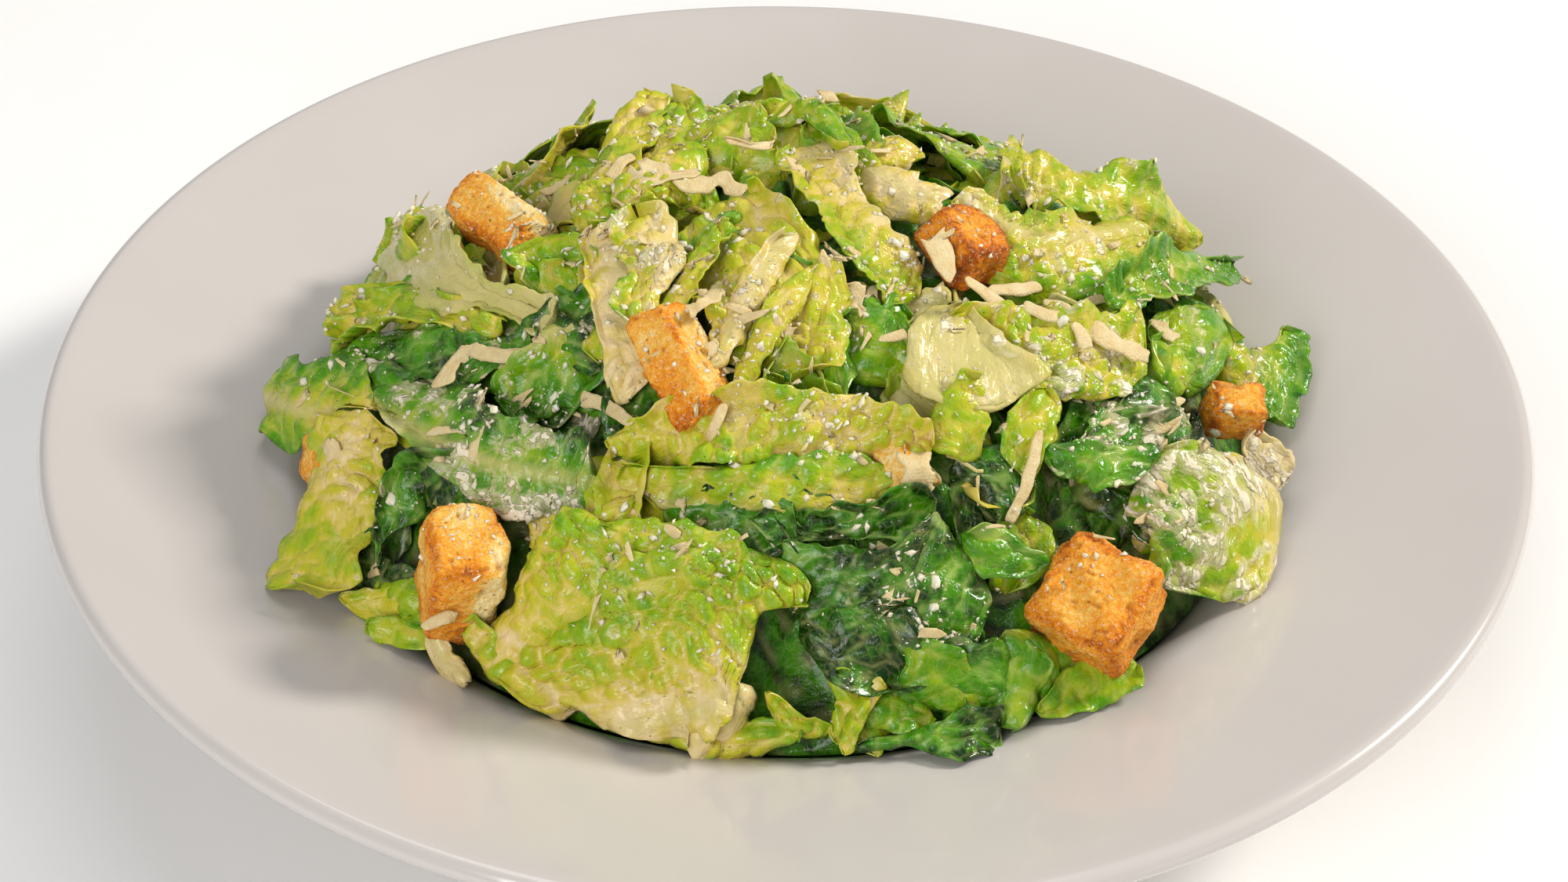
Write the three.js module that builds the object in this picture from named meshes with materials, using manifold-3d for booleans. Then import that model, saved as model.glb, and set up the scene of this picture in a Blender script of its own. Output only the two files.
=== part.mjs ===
// Caesar salad heaped on its wide-rimmed plate.
// Millimetres, +Z up. The origin is the middle of the plate's foot ring, on the table.
// The front of the salad faces -Y, and +X is its right-hand side.

import * as THREE from "three";
import { mergeVertices } from "three/addons/utils/BufferGeometryUtils.js";
import Module from "manifold-3d";

// ---------------------------------------------------------------- driving sizes

const GAP = 0.3; // clearance between neighbouring pieces

const PLATE = {
  radius: 143, // outside of the lip
  lipTop: 48,
  lipRadius: 2.4,
  rimInner: 98, // where the rim's flat slope starts
  rimInnerTop: 39,
  rimOuter: 138,
  rimOuterTop: 47.5,
  wellRadius: 93,
  wellTop: 38,
  edgeRun: 5, // the curve from the well onto the rim starts this far inside the well's radius
  floorRadius: 46,
  floorTop: 8,
  wall: 5,
  footInner: 52,
  footOuter: 60,
  recess: 3, // how far the underside inside the foot ring is lifted
  around: 48, // facets round the plate
};

const HEAP = {
  centre: [-1, 0],
  radius: 93,
  base: 38.5, // height of the heap's edge, just above the edge of the well
  rise: 46, // from its edge to its crown
  roundness: 0.72,
  swell: 11, // reach of the hump that carries each leaf
  aboveFloor: 1, // clearance over the well, which only the leaves' ends close to the gap
  floorShare: 0.97, // of the radius, for the underside
  around: 32, // facets round the heap
  rings: 7, // from the crown to the edge
  floorRings: 4, // from the edge to the middle of the underside
};

const LEAF = {
  thickness: 1.5,
  ribThickness: 2.4,
  wavePower: 2.5, // keeps the waves to a leaf's edge
  corner: 5, // squareness of a leaf's outline
  tip: 0.06, // width left at a leaf's very end
  facetLength: 9.5, // along the midrib
  leastAlong: 3,
  mostAlong: 6,
  broad: 30, // a leaf wider than this gets four facets across instead of two
  lean: 0.9, // how far the leaves in front turn to the front
};

const FRONT = new THREE.Vector3(0, -0.79, 0.61);
const HEART_OF_HEAP = new THREE.Vector3(0, 3, 5); // leaves face away from this point

const SHRED = { thickness: 1.3, cup: 4, along: 3 };

const CROUTON = {
  facets: 3, // along each edge
  corner: 5, // squareness of the block
  bump: 0.5, // height of its lumps
  bumpPitch: 0.55, // radians of a lump's wave in a millimetre
};

// ---------------------------------------------------------------- kinds of leaf

const HEART = "pale yellow leaf from the heart";
const MIDDLE = "green leaf";
const OUTER = "dark outer leaf";
const RIB = "thick white rib";

/**
 * One torn leaf: how far it cups and waves, its half widths on the left and right at its start,
 * middle and end, and the points that its midrib runs through.
 */
function leaf(kind, cup, frill, left, right, path) {
  return { kind, cup, frill, left, right, path };
}

const FRONT_LEAVES = {
  curl_left: leaf(MIDDLE, 60, 1, [8, 10, 3], [10, 13, 4], [[-100, 1, 45], [-89, -15, 54], [-75, -27, 62]]),
  yellow_left: leaf(HEART, 30, 1.4, [6, 8, 12], [6, 9, 7], [[-77, -28, 61], [-83, -38, 53], [-87, -59, 43]]),
  dark_fold: leaf(OUTER, 80, 0.8, [3, 6, 4], [3, 5, 4], [[-65, -41, 64], [-71, -48, 57], [-74, -53, 47]]),
  dark_scrap: leaf(OUTER, 60, 0.8, [3, 5, 3], [3, 4, 3], [[-77, -47, 47], [-73, -55, 45], [-66, -61, 47]]),
  coated_left: leaf(OUTER, 25, 1.2, [2, 12, 9], [3, 8, 5], [[-85, -15, 58], [-55, -50, 70], [-34, -58, 71]]),
  dark_top_left: leaf(OUTER, 40, 1, [3, 6, 4], [3, 7, 5], [[-83, -9, 58], [-60, -25, 74], [-43, -33, 78]]),
  veined: leaf(OUTER, 35, 0.8, [7, 9, 5], [4, 8, 5], [[-34, -32, 80], [-42, -36, 79], [-52, -36, 73]]),
  pale_slab: leaf(RIB, 25, 0.6, [5, 8, 5], [4, 13, 4], [[-72, 34, 65], [-63, -6, 78], [-44, -26, 80]]),
  pale_edge: leaf(HEART, 40, 2, [2, 5, 3], [3, 5, 3], [[-85, -2, 58], [-73, -6, 70], [-53, -22, 79]]),
  bright_cup: leaf(HEART, -60, 0.5, [7, 8, 4], [7, 7, 4], [[-45, -8, 87], [-43, -14, 82], [-40, -23, 81]]),
  tall_pale: leaf(RIB, 35, 0.8, [8, 8, 3], [9, 6, 4], [[-30, -3, 90], [-31, -28, 89], [-27, -48, 80]]),
  top_left_low: leaf(MIDDLE, 30, 1.6, [4, 5, 3], [6, 9, 6], [[-56, 23, 75], [-47, 28, 79], [-36, 26, 82]]),
  top_left_tip: leaf(HEART, 50, 1.6, [2, 8, 5], [2, 5, 5], [[-29, 39, 89], [-34, 13, 91], [-37, -6, 87]]),
  top_left_two: leaf(HEART, 50, 1.6, [3, 6, 4], [4, 7, 5], [[-23, 35, 89], [-23, 10, 94], [-28, -3, 92]]),
  top_crinkled: leaf(MIDDLE, 40, 1.8, [4, 6, 4], [6, 9, 6], [[-24, 22, 88], [-14, 19, 94], [-2, 16, 92]]),
  top_curl: leaf(MIDDLE, 90, 1.2, [3, 4, 3], [3, 5, 4], [[-4, 26, 93], [4, 24, 97], [11, 10, 94]]),
  top_long: leaf(MIDDLE, 40, 1.4, [7, 8, 5], [6, 9, 5], [[0, 14, 94], [11, -12, 94], [21, -26, 87]]),
  centre_frilly: leaf(HEART, 30, 2.4, [5, 10, 7], [5, 13, 10], [[-8, -2, 94], [1, -28, 94], [0, -46, 85]]),
  centre_rib_one: leaf(
    RIB, 100, 0.2, [2, 2.5, 2.5], [2, 2.5, 2.5],
    [[-17, -11, 92], [-19, -23, 92], [-22, -32, 88]],
  ),
  centre_rib_three: leaf(
    RIB, 80, 0.2, [1.5, 3, 2], [1.5, 3, 2],
    [[-1, -35, 93], [-4, -43, 90], [-9, -47, 86]],
  ),
  centre_right_dark: leaf(OUTER, 30, 1, [5, 8, 5], [5, 8, 5], [[9, -33, 84], [17, -35, 85], [23, -27, 85]]),
  low_frilled: leaf(HEART, 25, 2.4, [3, 12, 7], [4, 10, 10], [[-32, -54, 77], [-2, -51, 85], [16, -44, 85]]),
  right_pale_slab: leaf(RIB, 30, 0.6, [4, 10, 5], [4, 8, 6], [[19, -47, 83], [30, -40, 87], [41, -44, 78]]),
  cut_rib: leaf(RIB, -120, 0.4, [4, 6, 4], [4, 6, 4], [[31, -46, 82], [32, -53, 77], [30, -57, 72]]),
  bright_rib: leaf(MIDDLE, -70, 0.6, [5, 7, 5], [5, 6, 4], [[35, -52, 77], [42, -49, 77], [48, -43, 76]]),
  broad_pale: leaf(HEART, 25, 1, [4, 8, 9], [9, 12, 6], [[29, -30, 87], [49, -31, 82], [66, -22, 72]]),
  upper_right: leaf(MIDDLE, 30, 1.2, [7, 11, 3], [8, 11, 3], [[33, -4, 89], [56, -5, 82], [89, 29, 57]]),
  bright_fold: leaf(MIDDLE, -70, 0.8, [3, 5, 2.5], [3, 6, 2.5], [[59, -15, 80], [71, 4, 77], [88, 31, 58]]),
  back_right: leaf(MIDDLE, 35, 1.6, [5, 7, 3], [8, 11, 8], [[41, 25, 83], [56, 22, 79], [74, 34, 68]]),
  smooth_rib: leaf(RIB, 35, 0.3, [5, 6, 5], [6, 8, 6], [[14, 13, 91], [21, 5, 91], [29, 4, 89]]),
  right_tube: leaf(OUTER, 110, 0.8, [4, 6, 4], [5, 9, 5], [[67, -11, 73], [74, -11, 70], [84, -1, 61]]),
  brown_edge_rib: leaf(RIB, 80, 0.3, [2, 3.5, 2.5], [2, 3.5, 2.5], [[80, 15, 62], [83, 5, 62], [83, -3, 60]]),
  far_right: leaf(MIDDLE, 25, 0.6, [4, 4, 3], [6, 7, 5], [[97, 20, 50], [97, 11, 47], [93, -3, 46]]),
  white_under: leaf(RIB, 50, 0.8, [3, 5, 3], [3, 6, 3], [[87, -14, 52], [92, -12, 46], [94, -16, 42]]),
  coated_dark: leaf(OUTER, 50, 1.2, [4, 8, 4], [4, 7, 4], [[51, -47, 70], [60, -39, 71], [72, -28, 65]]),
  coated_dark_two: leaf(OUTER, 50, 1.2, [4, 7, 4], [4, 7, 4], [[54, -48, 67], [63, -40, 68], [74, -32, 62]]),
  coated_right: leaf(OUTER, 60, 1.2, [9, 17, 8], [9, 18, 9], [[68, -41, 66], [79, -45, 55], [77, -55, 43]]),
  small_dark: leaf(OUTER, 40, 0.8, [3, 6, 3], [4, 7, 3], [[33, -53, 75], [38, -56, 72], [41, -61, 66]]),
  front_fold: leaf(MIDDLE, 60, 0.8, [4, 6, 3], [4, 9, 3], [[-30, -58, 74], [-5, -64, 77], [19, -62, 75]]),
  front_fold_inner: leaf(
    MIDDLE, -50, 0.8, [2, 5, 4], [2, 5, 5],
    [[1, -69, 71], [13, -69, 71], [25, -65, 70]],
  ),
  broad_dark: leaf(OUTER, 30, 1.4, [5, 14, 8], [9, 15, 7], [[1, -72, 68], [19, -78, 63], [37, -76, 56]]),
  broad_dark_low: leaf(OUTER, 35, 1.2, [8, 12, 4], [6, 9, 4], [[8, -78, 61], [13, -84, 57], [19, -87, 48]]),
  dark_behind: leaf(OUTER, 35, 1.2, [5, 8, 6], [5, 8, 6], [[-23, -65, 69], [-11, -69, 69], [1, -71, 68]]),
  front_crinkled: leaf(
    HEART, 35, 1.8, [5, 18, 4], [4, 17, 9],
    [[5, -80, 62], [-18, -84, 59], [-48, -80, 44]],
  ),
  front_crinkled_end: leaf(
    RIB, 50, 0.6, [3, 6, 4], [3, 6, 4],
    [[-6, -88, 50], [-12, -90, 46], [-18, -90, 41]],
  ),
  front_back_fold: leaf(
    HEART, 50, 1.4, [6, 10, 6], [4, 9, 6],
    [[-32, -68, 71], [-40, -75, 60], [-50, -78, 46]],
  ),
  front_top_edge: leaf(
    MIDDLE, 50, 1.2, [3, 5, 3], [5, 9, 7],
    [[-32, -70, 69], [-19, -76, 69], [-6, -77, 68]],
  ),
  low_curl: leaf(HEART, 80, 1.2, [3, 5, 3], [2, 4, 3], [[-13, -91, 41], [-4, -91, 43], [2, -89, 48]]),
  low_rib: leaf(RIB, 80, 0.4, [2, 3, 2.5], [2, 3, 2.5], [[8, -91, 41], [13, -89, 46], [17, -87, 49]]),
  bottom_band: leaf(MIDDLE, -60, 1, [2, 5, 5], [2, 4, 3], [[13, -93, 42], [26, -92, 44], [37, -86, 44]]),
  bottom_ruffle: leaf(MIDDLE, 50, 1.8, [6, 9, 5], [6, 9, 5], [[21, -85, 52], [34, -85, 48], [40, -83, 42]]),
  under_cube: leaf(MIDDLE, 60, 1.2, [5, 6, 3], [5, 7, 4], [[40, -77, 52], [45, -80, 47], [42, -84, 41]]),
  low_left_scrap: leaf(OUTER, 50, 1, [3, 5, 3], [3, 5, 3], [[-76, -55, 42], [-69, -61, 45], [-63, -66, 44]]),
};

// Leaves behind the crown, laid in rows round the back of the heap, with angles in degrees.
const BACK_LEAVES = {
  seed: 4021,
  kinds: [MIDDLE, HEART, OUTER, MIDDLE, RIB, OUTER],
  rows: [
    { count: 8, radius: 83, from: 8, to: 172, length: 36, halfWidth: 13 },
    { count: 6, radius: 58, from: 22, to: 158, length: 38, halfWidth: 14 },
  ],
  jitter: 0.4, // spread of a leaf's place along its row, as a share of that place
  drift: 6, // spread of its distance from the axis
  turn: 50, // most that it turns away from the heap's edge
  vary: 0.2, // most that its length and width differ from the row's, as a share
  lift: 4, // of its middle above the bare heap
  endLift: 1.5, // and of its two ends
  startWidth: 0.6, // share of its width on the left at its start and on the right at its end
  endWidth: 0.7, // and the other way round
  cup: [-50, 30],
  frill: 1.8,
};

// Cheese shreds and flakes: width, then the points that each runs through.
const SHREDS = {
  left_steep: [3.4, [[-63, -35, 73], [-61, -28, 74], [-58, -27, 76]]],
  left_flat: [2.4, [[-58, -27, 76], [-54, -30, 77], [-48, -33, 79]]],
  right_hanging: [2.6, [[45, -51, 77], [43, -57, 72], [39, -63, 65]]],
  right_long: [3.2, [[47, -20, 84], [57, -26, 81], [67, -24, 74]]],
  right_upper: [2.4, [[42, -26, 87], [47, -27, 86], [53, -25, 83]]],
  right_edge: [2, [[55, -14, 80], [65, -6, 76], [75, 4, 70]]],
  top_flake: [7, [[-32, -1, 92], [-26, 0, 95], [-20, 6, 95]]],
  top_flake_two: [5, [[-20, 1, 95], [-13, 2, 95], [-6, -3, 95]]],
  centre_wedge: [6, [[5, -25, 95], [10, -28, 92], [14, -31, 88]]],
  left_low: [2.5, [[-55, -47, 73], [-51, -50, 73], [-48, -52, 73]]],
};

// Croutons: size across, front to back and high, where the middle is, and tilt about X and Y
// before the turn about Z, in degrees.
const CROUTONS = {
  crouton_back_left: { size: [21, 11, 11], at: [-54.5, 3, 83.8], turn: [32, 3, -46], taper: 0.05 },
  crouton_centre: { size: [11, 23, 10], at: [-18.7, -46, 87], turn: [35, 31, 50], taper: 0.03 },
  crouton_back_right: { size: [13, 14, 10], at: [32.2, -10.4, 89.4], turn: [18, 21, 41], taper: 0.05 },
  crouton_front_left: { size: [14, 16, 24.5], at: [-57.5, -67, 55.5], turn: [16, 6, 14], taper: -0.05 },
  crouton_front_right: { size: [19.5, 20, 15.5], at: [55.4, -69.5, 53.7], turn: [31, 8, -31], taper: 0.02 },
  crouton_right: { size: [11.5, 8.5, 9], at: [84, -17.5, 58], turn: [15, 9, 7], taper: 0.05 },
  crouton_middle: { size: [7, 10, 16], at: [22, -56, 72], turn: [27, -36, 16], taper: 0 },
  crouton_left: { size: [9, 10, 9], at: [-85.5, -27, 49], turn: [0, 10, 20], taper: 0.05 },
};

// ---------------------------------------------------------------- small helpers

/** A repeatable stream of numbers between 0 and 1. */
function seededStream(seed) {
  const modulus = 2147483647;
  const multiplier = 16807;
  let state = seed;
  return () => {
    state = (state * multiplier) % modulus;
    return state / modulus;
  };
}

/** A smooth value through three values, at u = 0, 0.5 and 1. */
function through([start, middle, end], u) {
  return start * (1 - u) * (1 - 2 * u) + middle * 4 * u * (1 - u) + end * u * (2 * u - 1);
}

/** Closed geometry from vertices and triangles that index them. */
function closedGeometry(vertices, triangles) {
  const positions = new THREE.Float32BufferAttribute(
    vertices.flatMap((v) => [v.x, v.y, v.z]),
    3,
  );
  return new THREE.BufferGeometry().setAttribute("position", positions).setIndex(triangles);
}

/** Closed geometry from a lathe profile of [radius, height] pairs that starts and ends on the axis. */
function latheGeometry(profile, around) {
  const points = profile.map(([r, z]) => new THREE.Vector2(r, z));
  const geometry = new THREE.LatheGeometry(points, around);
  geometry.rotateX(Math.PI / 2); // the lathe turns about Y
  return geometry;
}

// ---------------------------------------------------------------- joins and cuts

const wasm = await Module();
wasm.setup();

const MERGE = 1e-4; // vertices closer than this are one
const SLIVER = 0.4; // edges shorter than this are closed up before the last cuts
const LAST_SLIVER = 0.03; // and shorter than this after them
const CORNER_SHIFT = 0.03; // how far corners that only touch are drawn apart
const TURN_LIMIT = 0.2; // least cosine by which a face may turn as an edge closes

/** The solid that a closed geometry bounds. */
function solidOf(geometry) {
  const bare = geometry.clone();
  bare.deleteAttribute("normal");
  bare.deleteAttribute("uv");
  const merged = mergeVertices(bare, MERGE);
  const corners = merged.index.array;
  const triangles = [];
  for (let i = 0; i < corners.length; i += 3) {
    const [a, b, c] = [corners[i], corners[i + 1], corners[i + 2]];
    if (a !== b && b !== c && c !== a) triangles.push(a, b, c);
  }
  return new wasm.Manifold(
    new wasm.Mesh({
      numProp: 3,
      vertProperties: merged.attributes.position.array,
      triVerts: new Uint32Array(triangles),
    }),
  );
}

/** The geometry of a solid. */
function geometryOf(solid) {
  const mesh = solid.getMesh();
  const geometry = new THREE.BufferGeometry();
  geometry.setAttribute("position", new THREE.BufferAttribute(mesh.vertProperties, 3));
  geometry.setIndex(new THREE.BufferAttribute(mesh.triVerts, 1));
  geometry.computeVertexNormals();
  return geometry;
}

/** The largest body of a solid, without its loose scraps and with its sealed hollows filled. */
function largestBody(solid) {
  const bodies = solid.decompose();
  return bodies.reduce((best, body) => (body.volume() > best.volume() ? body : best));
}

/** A closed mesh whose edges can be closed up one at a time. */
class ClosableMesh {
  constructor(geometry) {
    const place = geometry.attributes.position;
    this.points = Array.from({ length: place.count }, (_, i) =>
      new THREE.Vector3().fromBufferAttribute(place, i),
    );
    this.faces = [];
    this.facesAt = this.points.map(() => new Set());
    const corners = geometry.index.array;
    for (let i = 0; i < corners.length; i += 3) this.addFace([...corners.slice(i, i + 3)]);
  }

  addFace(face) {
    this.faces.push(face);
    for (const corner of face) this.facesAt[corner].add(this.faces.length - 1);
  }

  neighbours(a) {
    const all = [...this.facesAt[a]].flatMap((f) => this.faces[f]);
    return new Set(all.filter((corner) => corner !== a));
  }

  normal(face) {
    const [a, b, c] = face.map((corner) => this.points[corner]);
    return b.clone().sub(a).cross(c.clone().sub(a));
  }

  /** Whether b can move onto a with the surface still closed and no face turned over. */
  canClose(a, b) {
    const around = this.neighbours(a);
    const shared = [...this.neighbours(b)].filter((corner) => around.has(corner));
    if (shared.length !== 2) return false;
    return [...this.facesAt[b]].every((f) => {
      const face = this.faces[f];
      if (face.includes(a)) return true;
      const moved = this.normal(face.map((corner) => (corner === b ? a : corner)));
      const before = this.normal(face);
      return moved.dot(before) > TURN_LIMIT * moved.length() * before.length();
    });
  }

  close(a, b) {
    for (const f of this.facesAt[b]) {
      const face = this.faces[f];
      if (face.includes(a)) {
        for (const corner of face) if (corner !== b) this.facesAt[corner].delete(f);
        this.faces[f] = null;
      } else {
        face[face.indexOf(b)] = a;
        this.facesAt[a].add(f);
      }
    }
    this.facesAt[b] = new Set();
  }

  /** Closes every edge shorter than the limit that can be closed, the shortest first. */
  closeEdgesBelow(limit) {
    let closed = 0;
    do {
      const edges = [];
      for (const face of this.faces) {
        if (!face) continue;
        face.forEach((a, k) => {
          const b = face[(k + 1) % 3];
          const length = this.points[a].distanceTo(this.points[b]);
          if (a < b && length < limit) edges.push([length, a, b]);
        });
      }
      edges.sort((e, f) => e[0] - f[0]);
      closed = 0;
      for (const [, a, b] of edges) {
        if (![...this.facesAt[a]].some((f) => this.faces[f].includes(b))) continue;
        const keep = this.canClose(a, b) ? [a, b] : this.canClose(b, a) ? [b, a] : null;
        if (!keep) continue;
        this.close(...keep);
        closed++;
      }
    } while (closed);
    return this;
  }

  geometry() {
    return closedGeometry(this.points, this.faces.filter(Boolean).flat());
  }
}

/** Draws corners that only touch each other apart, each a little into its own faces. */
function withCornersApart(geometry) {
  const mesh = new ClosableMesh(geometry);
  const met = new Map();
  mesh.points.forEach((point, i) => {
    const place = point.toArray().map((c) => c.toFixed(2)).join();
    met.set(place, [...(met.get(place) ?? []), i]);
  });
  for (const corners of met.values()) {
    if (corners.length < 2) continue;
    for (const corner of corners) {
      const around = [...mesh.neighbours(corner)].map((k) => mesh.points[k]);
      const middle = around.reduce((sum, p) => sum.add(p), new THREE.Vector3());
      const inward = middle.divideScalar(around.length).sub(mesh.points[corner]).normalize();
      mesh.points[corner].addScaledVector(inward, CORNER_SHIFT);
    }
  }
  return mesh.geometry();
}

/** A solid whose slivers are closed up: no edge that can be closed stays shorter than the limit. */
function withoutSlivers(solid, limit) {
  return solidOf(new ClosableMesh(geometryOf(solid)).closeEdgesBelow(limit).geometry());
}

// ---------------------------------------------------------------- plate

/** Height of the well's inside at radius r: a flat floor that sweeps up to the rim. */
function wellHeight(r) {
  const along = Math.max(0, r - PLATE.floorRadius) / (PLATE.wellRadius - PLATE.floorRadius);
  return PLATE.floorTop + (PLATE.wellTop - PLATE.floorTop) * along ** 2;
}

/** The top of the plate as [radius, height], from the axis to the inside of the lip. */
function plateTop() {
  const wellSteps = 4;
  const edgeSteps = 3;
  const edgeStart = PLATE.wellRadius - PLATE.edgeRun;
  const points = [[0, PLATE.floorTop]];
  for (let i = 0; i <= wellSteps; i++) {
    const r = PLATE.floorRadius + ((edgeStart - PLATE.floorRadius) * i) / wellSteps;
    points.push([r, wellHeight(r)]);
  }
  const edge = new THREE.QuadraticBezierCurve(
    new THREE.Vector2(edgeStart, wellHeight(edgeStart)),
    new THREE.Vector2(PLATE.wellRadius, PLATE.wellTop),
    new THREE.Vector2(PLATE.rimInner, PLATE.rimInnerTop),
  );
  for (const p of edge.getPoints(edgeSteps).slice(1)) points.push([p.x, p.y]);
  points.push([PLATE.rimOuter, PLATE.rimOuterTop]);
  return points;
}

/** Height of the plate's top at radius r. */
function plateTopHeight(r) {
  const points = plateTop();
  const next = Math.max(1, points.findIndex(([radius]) => radius >= r));
  const [[r0, z0], [r1, z1]] = points.slice(next - 1, next + 1);
  return THREE.MathUtils.mapLinear(r, r0, r1, z0, z1);
}

/** The rolled lip as [radius, height], over the top and down the outside. */
function plateLip() {
  const steps = 4;
  const start = 99; // degrees above the horizontal
  const end = -72;
  const centre = [PLATE.radius - PLATE.lipRadius, PLATE.lipTop - PLATE.lipRadius];
  return Array.from({ length: steps + 1 }, (_, i) => {
    const angle = THREE.MathUtils.degToRad(start + ((end - start) * i) / steps);
    return [
      centre[0] + PLATE.lipRadius * Math.cos(angle),
      centre[1] + PLATE.lipRadius * Math.sin(angle),
    ];
  });
}

/** The underside as [radius, height], from below the rim to the foot ring and its recess. */
function plateUnderside() {
  const steps = 4;
  const start = PLATE.wellRadius - 1;
  const points = [[PLATE.rimInner, PLATE.rimInnerTop - PLATE.wall]];
  for (let i = 0; i <= steps; i++) {
    const r = start + ((PLATE.footOuter - start) * i) / steps;
    const slope = (wellHeight(r + 1) - wellHeight(r - 1)) / 2;
    const length = Math.hypot(1, slope);
    points.push([r + (PLATE.wall * slope) / length, wellHeight(r) - PLATE.wall / length]);
  }
  points.push([PLATE.footOuter, 0], [PLATE.footInner + 1, 0], [PLATE.footInner, PLATE.recess]);
  points.push([0, PLATE.recess]);
  return points;
}

/** The plate, turned about its own axis. */
function plateGeometry() {
  const profile = [...plateTop(), ...plateLip(), ...plateUnderside()];
  return latheGeometry(profile.reverse(), PLATE.around);
}

/** Everything below the plate's top, raised by the gap, for cutting food clear of the plate. */
function belowPlate() {
  const deep = -10;
  const wide = PLATE.radius + 20;
  const overLip = PLATE.lipTop + 5;
  const raised = plateTop().map(([r, z]) => [Math.max(0, r - GAP), z + GAP]);
  const outside = [[wide, overLip], [wide, deep], [0, deep]];
  return solidOf(latheGeometry([...raised, ...outside].reverse(), PLATE.around));
}

// ---------------------------------------------------------------- leaves and shreds

/**
 * Points of a leaf's middle surface in rows along its midrib, with their normals.
 * u runs along the midrib and v from the left edge at -1 to the right edge at 1.
 */
function leafSurface(piece, index, lean, along, across) {
  const curve = new THREE.CatmullRomCurve3(
    piece.path.map((p) => new THREE.Vector3(...p)),
    false,
    "catmullrom",
    0.5,
  );
  const step = 0.001;
  const rows = [];
  for (let i = 0; i <= along; i++) {
    const even = i / along;
    const u = (even + 0.5 - 0.5 * Math.cos(Math.PI * even)) / 2;
    const middle = curve.getPoint(u);
    const ahead = curve.getPoint(Math.min(1, u + step));
    const behind = curve.getPoint(Math.max(0, u - step));
    const forward = ahead.sub(behind).normalize();
    const outward = middle.clone().sub(HEART_OF_HEAP).normalize().addScaledVector(FRONT, lean);
    const normal = outward.addScaledVector(forward, -outward.dot(forward)).normalize();
    const rightward = new THREE.Vector3().crossVectors(forward, normal);
    const cap = Math.sqrt(Math.max(0, 1 - Math.abs(2 * u - 1) ** LEAF.corner));
    const round = cap * (1 - LEAF.tip) + LEAF.tip;
    const left = through(piece.left, u) * round;
    const right = through(piece.right, u) * round;
    const bend = THREE.MathUtils.degToRad(piece.cup || 1) / ((left + right) / 2);
    const row = [];
    for (let j = 0; j <= across; j++) {
      const v = (2 * j) / across - 1;
      const s = v * (v < 0 ? left : right);
      const crest = (i + (v < 0 ? index : index + 1)) % 2 ? 1 : -1;
      const wave = piece.frill * crest * Math.abs(v) ** LEAF.wavePower;
      row.push(
        middle
          .clone()
          .addScaledVector(rightward, Math.sin(bend * s) / bend)
          .addScaledVector(normal, (Math.cos(bend * s) - 1) / bend + wave),
      );
    }
    rows.push(row);
  }
  return rows;
}

/** The normal of a grid of points at row i and column j. */
function gridNormal(rows, i, j) {
  const down = rows[Math.min(i + 1, rows.length - 1)][j].clone().sub(rows[Math.max(i - 1, 0)][j]);
  const last = rows[i].length - 1;
  const over = rows[i][Math.min(j + 1, last)].clone().sub(rows[i][Math.max(j - 1, 0)]);
  return down.cross(over).normalize();
}

/** A closed sheet around a grid of points, both faces split into triangles alike. */
function sheetGeometry(rows, thickness) {
  const along = rows.length;
  const across = rows[0].length;
  const vertices = [];
  for (const side of [0.5, -0.5]) {
    rows.forEach((row, i) =>
      row.forEach((p, j) =>
        vertices.push(p.clone().addScaledVector(gridNormal(rows, i, j), side * thickness)),
      ),
    );
  }
  const at = (i, j) => i * across + j;
  const under = along * across;
  const triangles = [];
  for (let i = 0; i + 1 < along; i++) {
    for (let j = 0; j + 1 < across; j++) {
      const [a, b, c, d] = [at(i, j), at(i + 1, j), at(i + 1, j + 1), at(i, j + 1)];
      triangles.push(a, b, c, a, c, d);
      triangles.push(under + a, under + c, under + b, under + a, under + d, under + c);
    }
  }
  const wall = (a, b) => triangles.push(a, under + b, b, a, under + a, under + b);
  for (let i = 0; i + 1 < along; i++) {
    wall(at(i, 0), at(i + 1, 0));
    wall(at(i + 1, across - 1), at(i, across - 1));
  }
  for (let j = 0; j + 1 < across; j++) {
    wall(at(0, j + 1), at(0, j));
    wall(at(along - 1, j), at(along - 1, j + 1));
  }
  return closedGeometry(vertices, triangles);
}

/** The solid of one leaf, with facets of about the same size whatever its own size. */
function leafSolid(piece, index, lean) {
  const ends = piece.path.map((p) => new THREE.Vector3(...p));
  const length = ends.slice(1).reduce((sum, p, i) => sum + p.distanceTo(ends[i]), 0);
  const width = piece.left[1] + piece.right[1];
  const facets = Math.round(length / LEAF.facetLength);
  const along = THREE.MathUtils.clamp(facets, LEAF.leastAlong, LEAF.mostAlong);
  const across = width > LEAF.broad ? 4 : 2;
  const rows = leafSurface(piece, index, lean, along, across);
  const thickness = piece.kind === RIB ? LEAF.ribThickness : LEAF.thickness;
  return solidOf(sheetGeometry(rows, thickness));
}

/** The solid of one shred of cheese: a narrow bent strip. */
function shredSolid([width, path], index) {
  const half = [width / 2, width / 2, width / 2];
  const strip = leaf(RIB, SHRED.cup, 0, half, half, path);
  const rows = leafSurface(strip, index, LEAF.lean, SHRED.along, 1);
  return solidOf(sheetGeometry(rows, SHRED.thickness));
}

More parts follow.
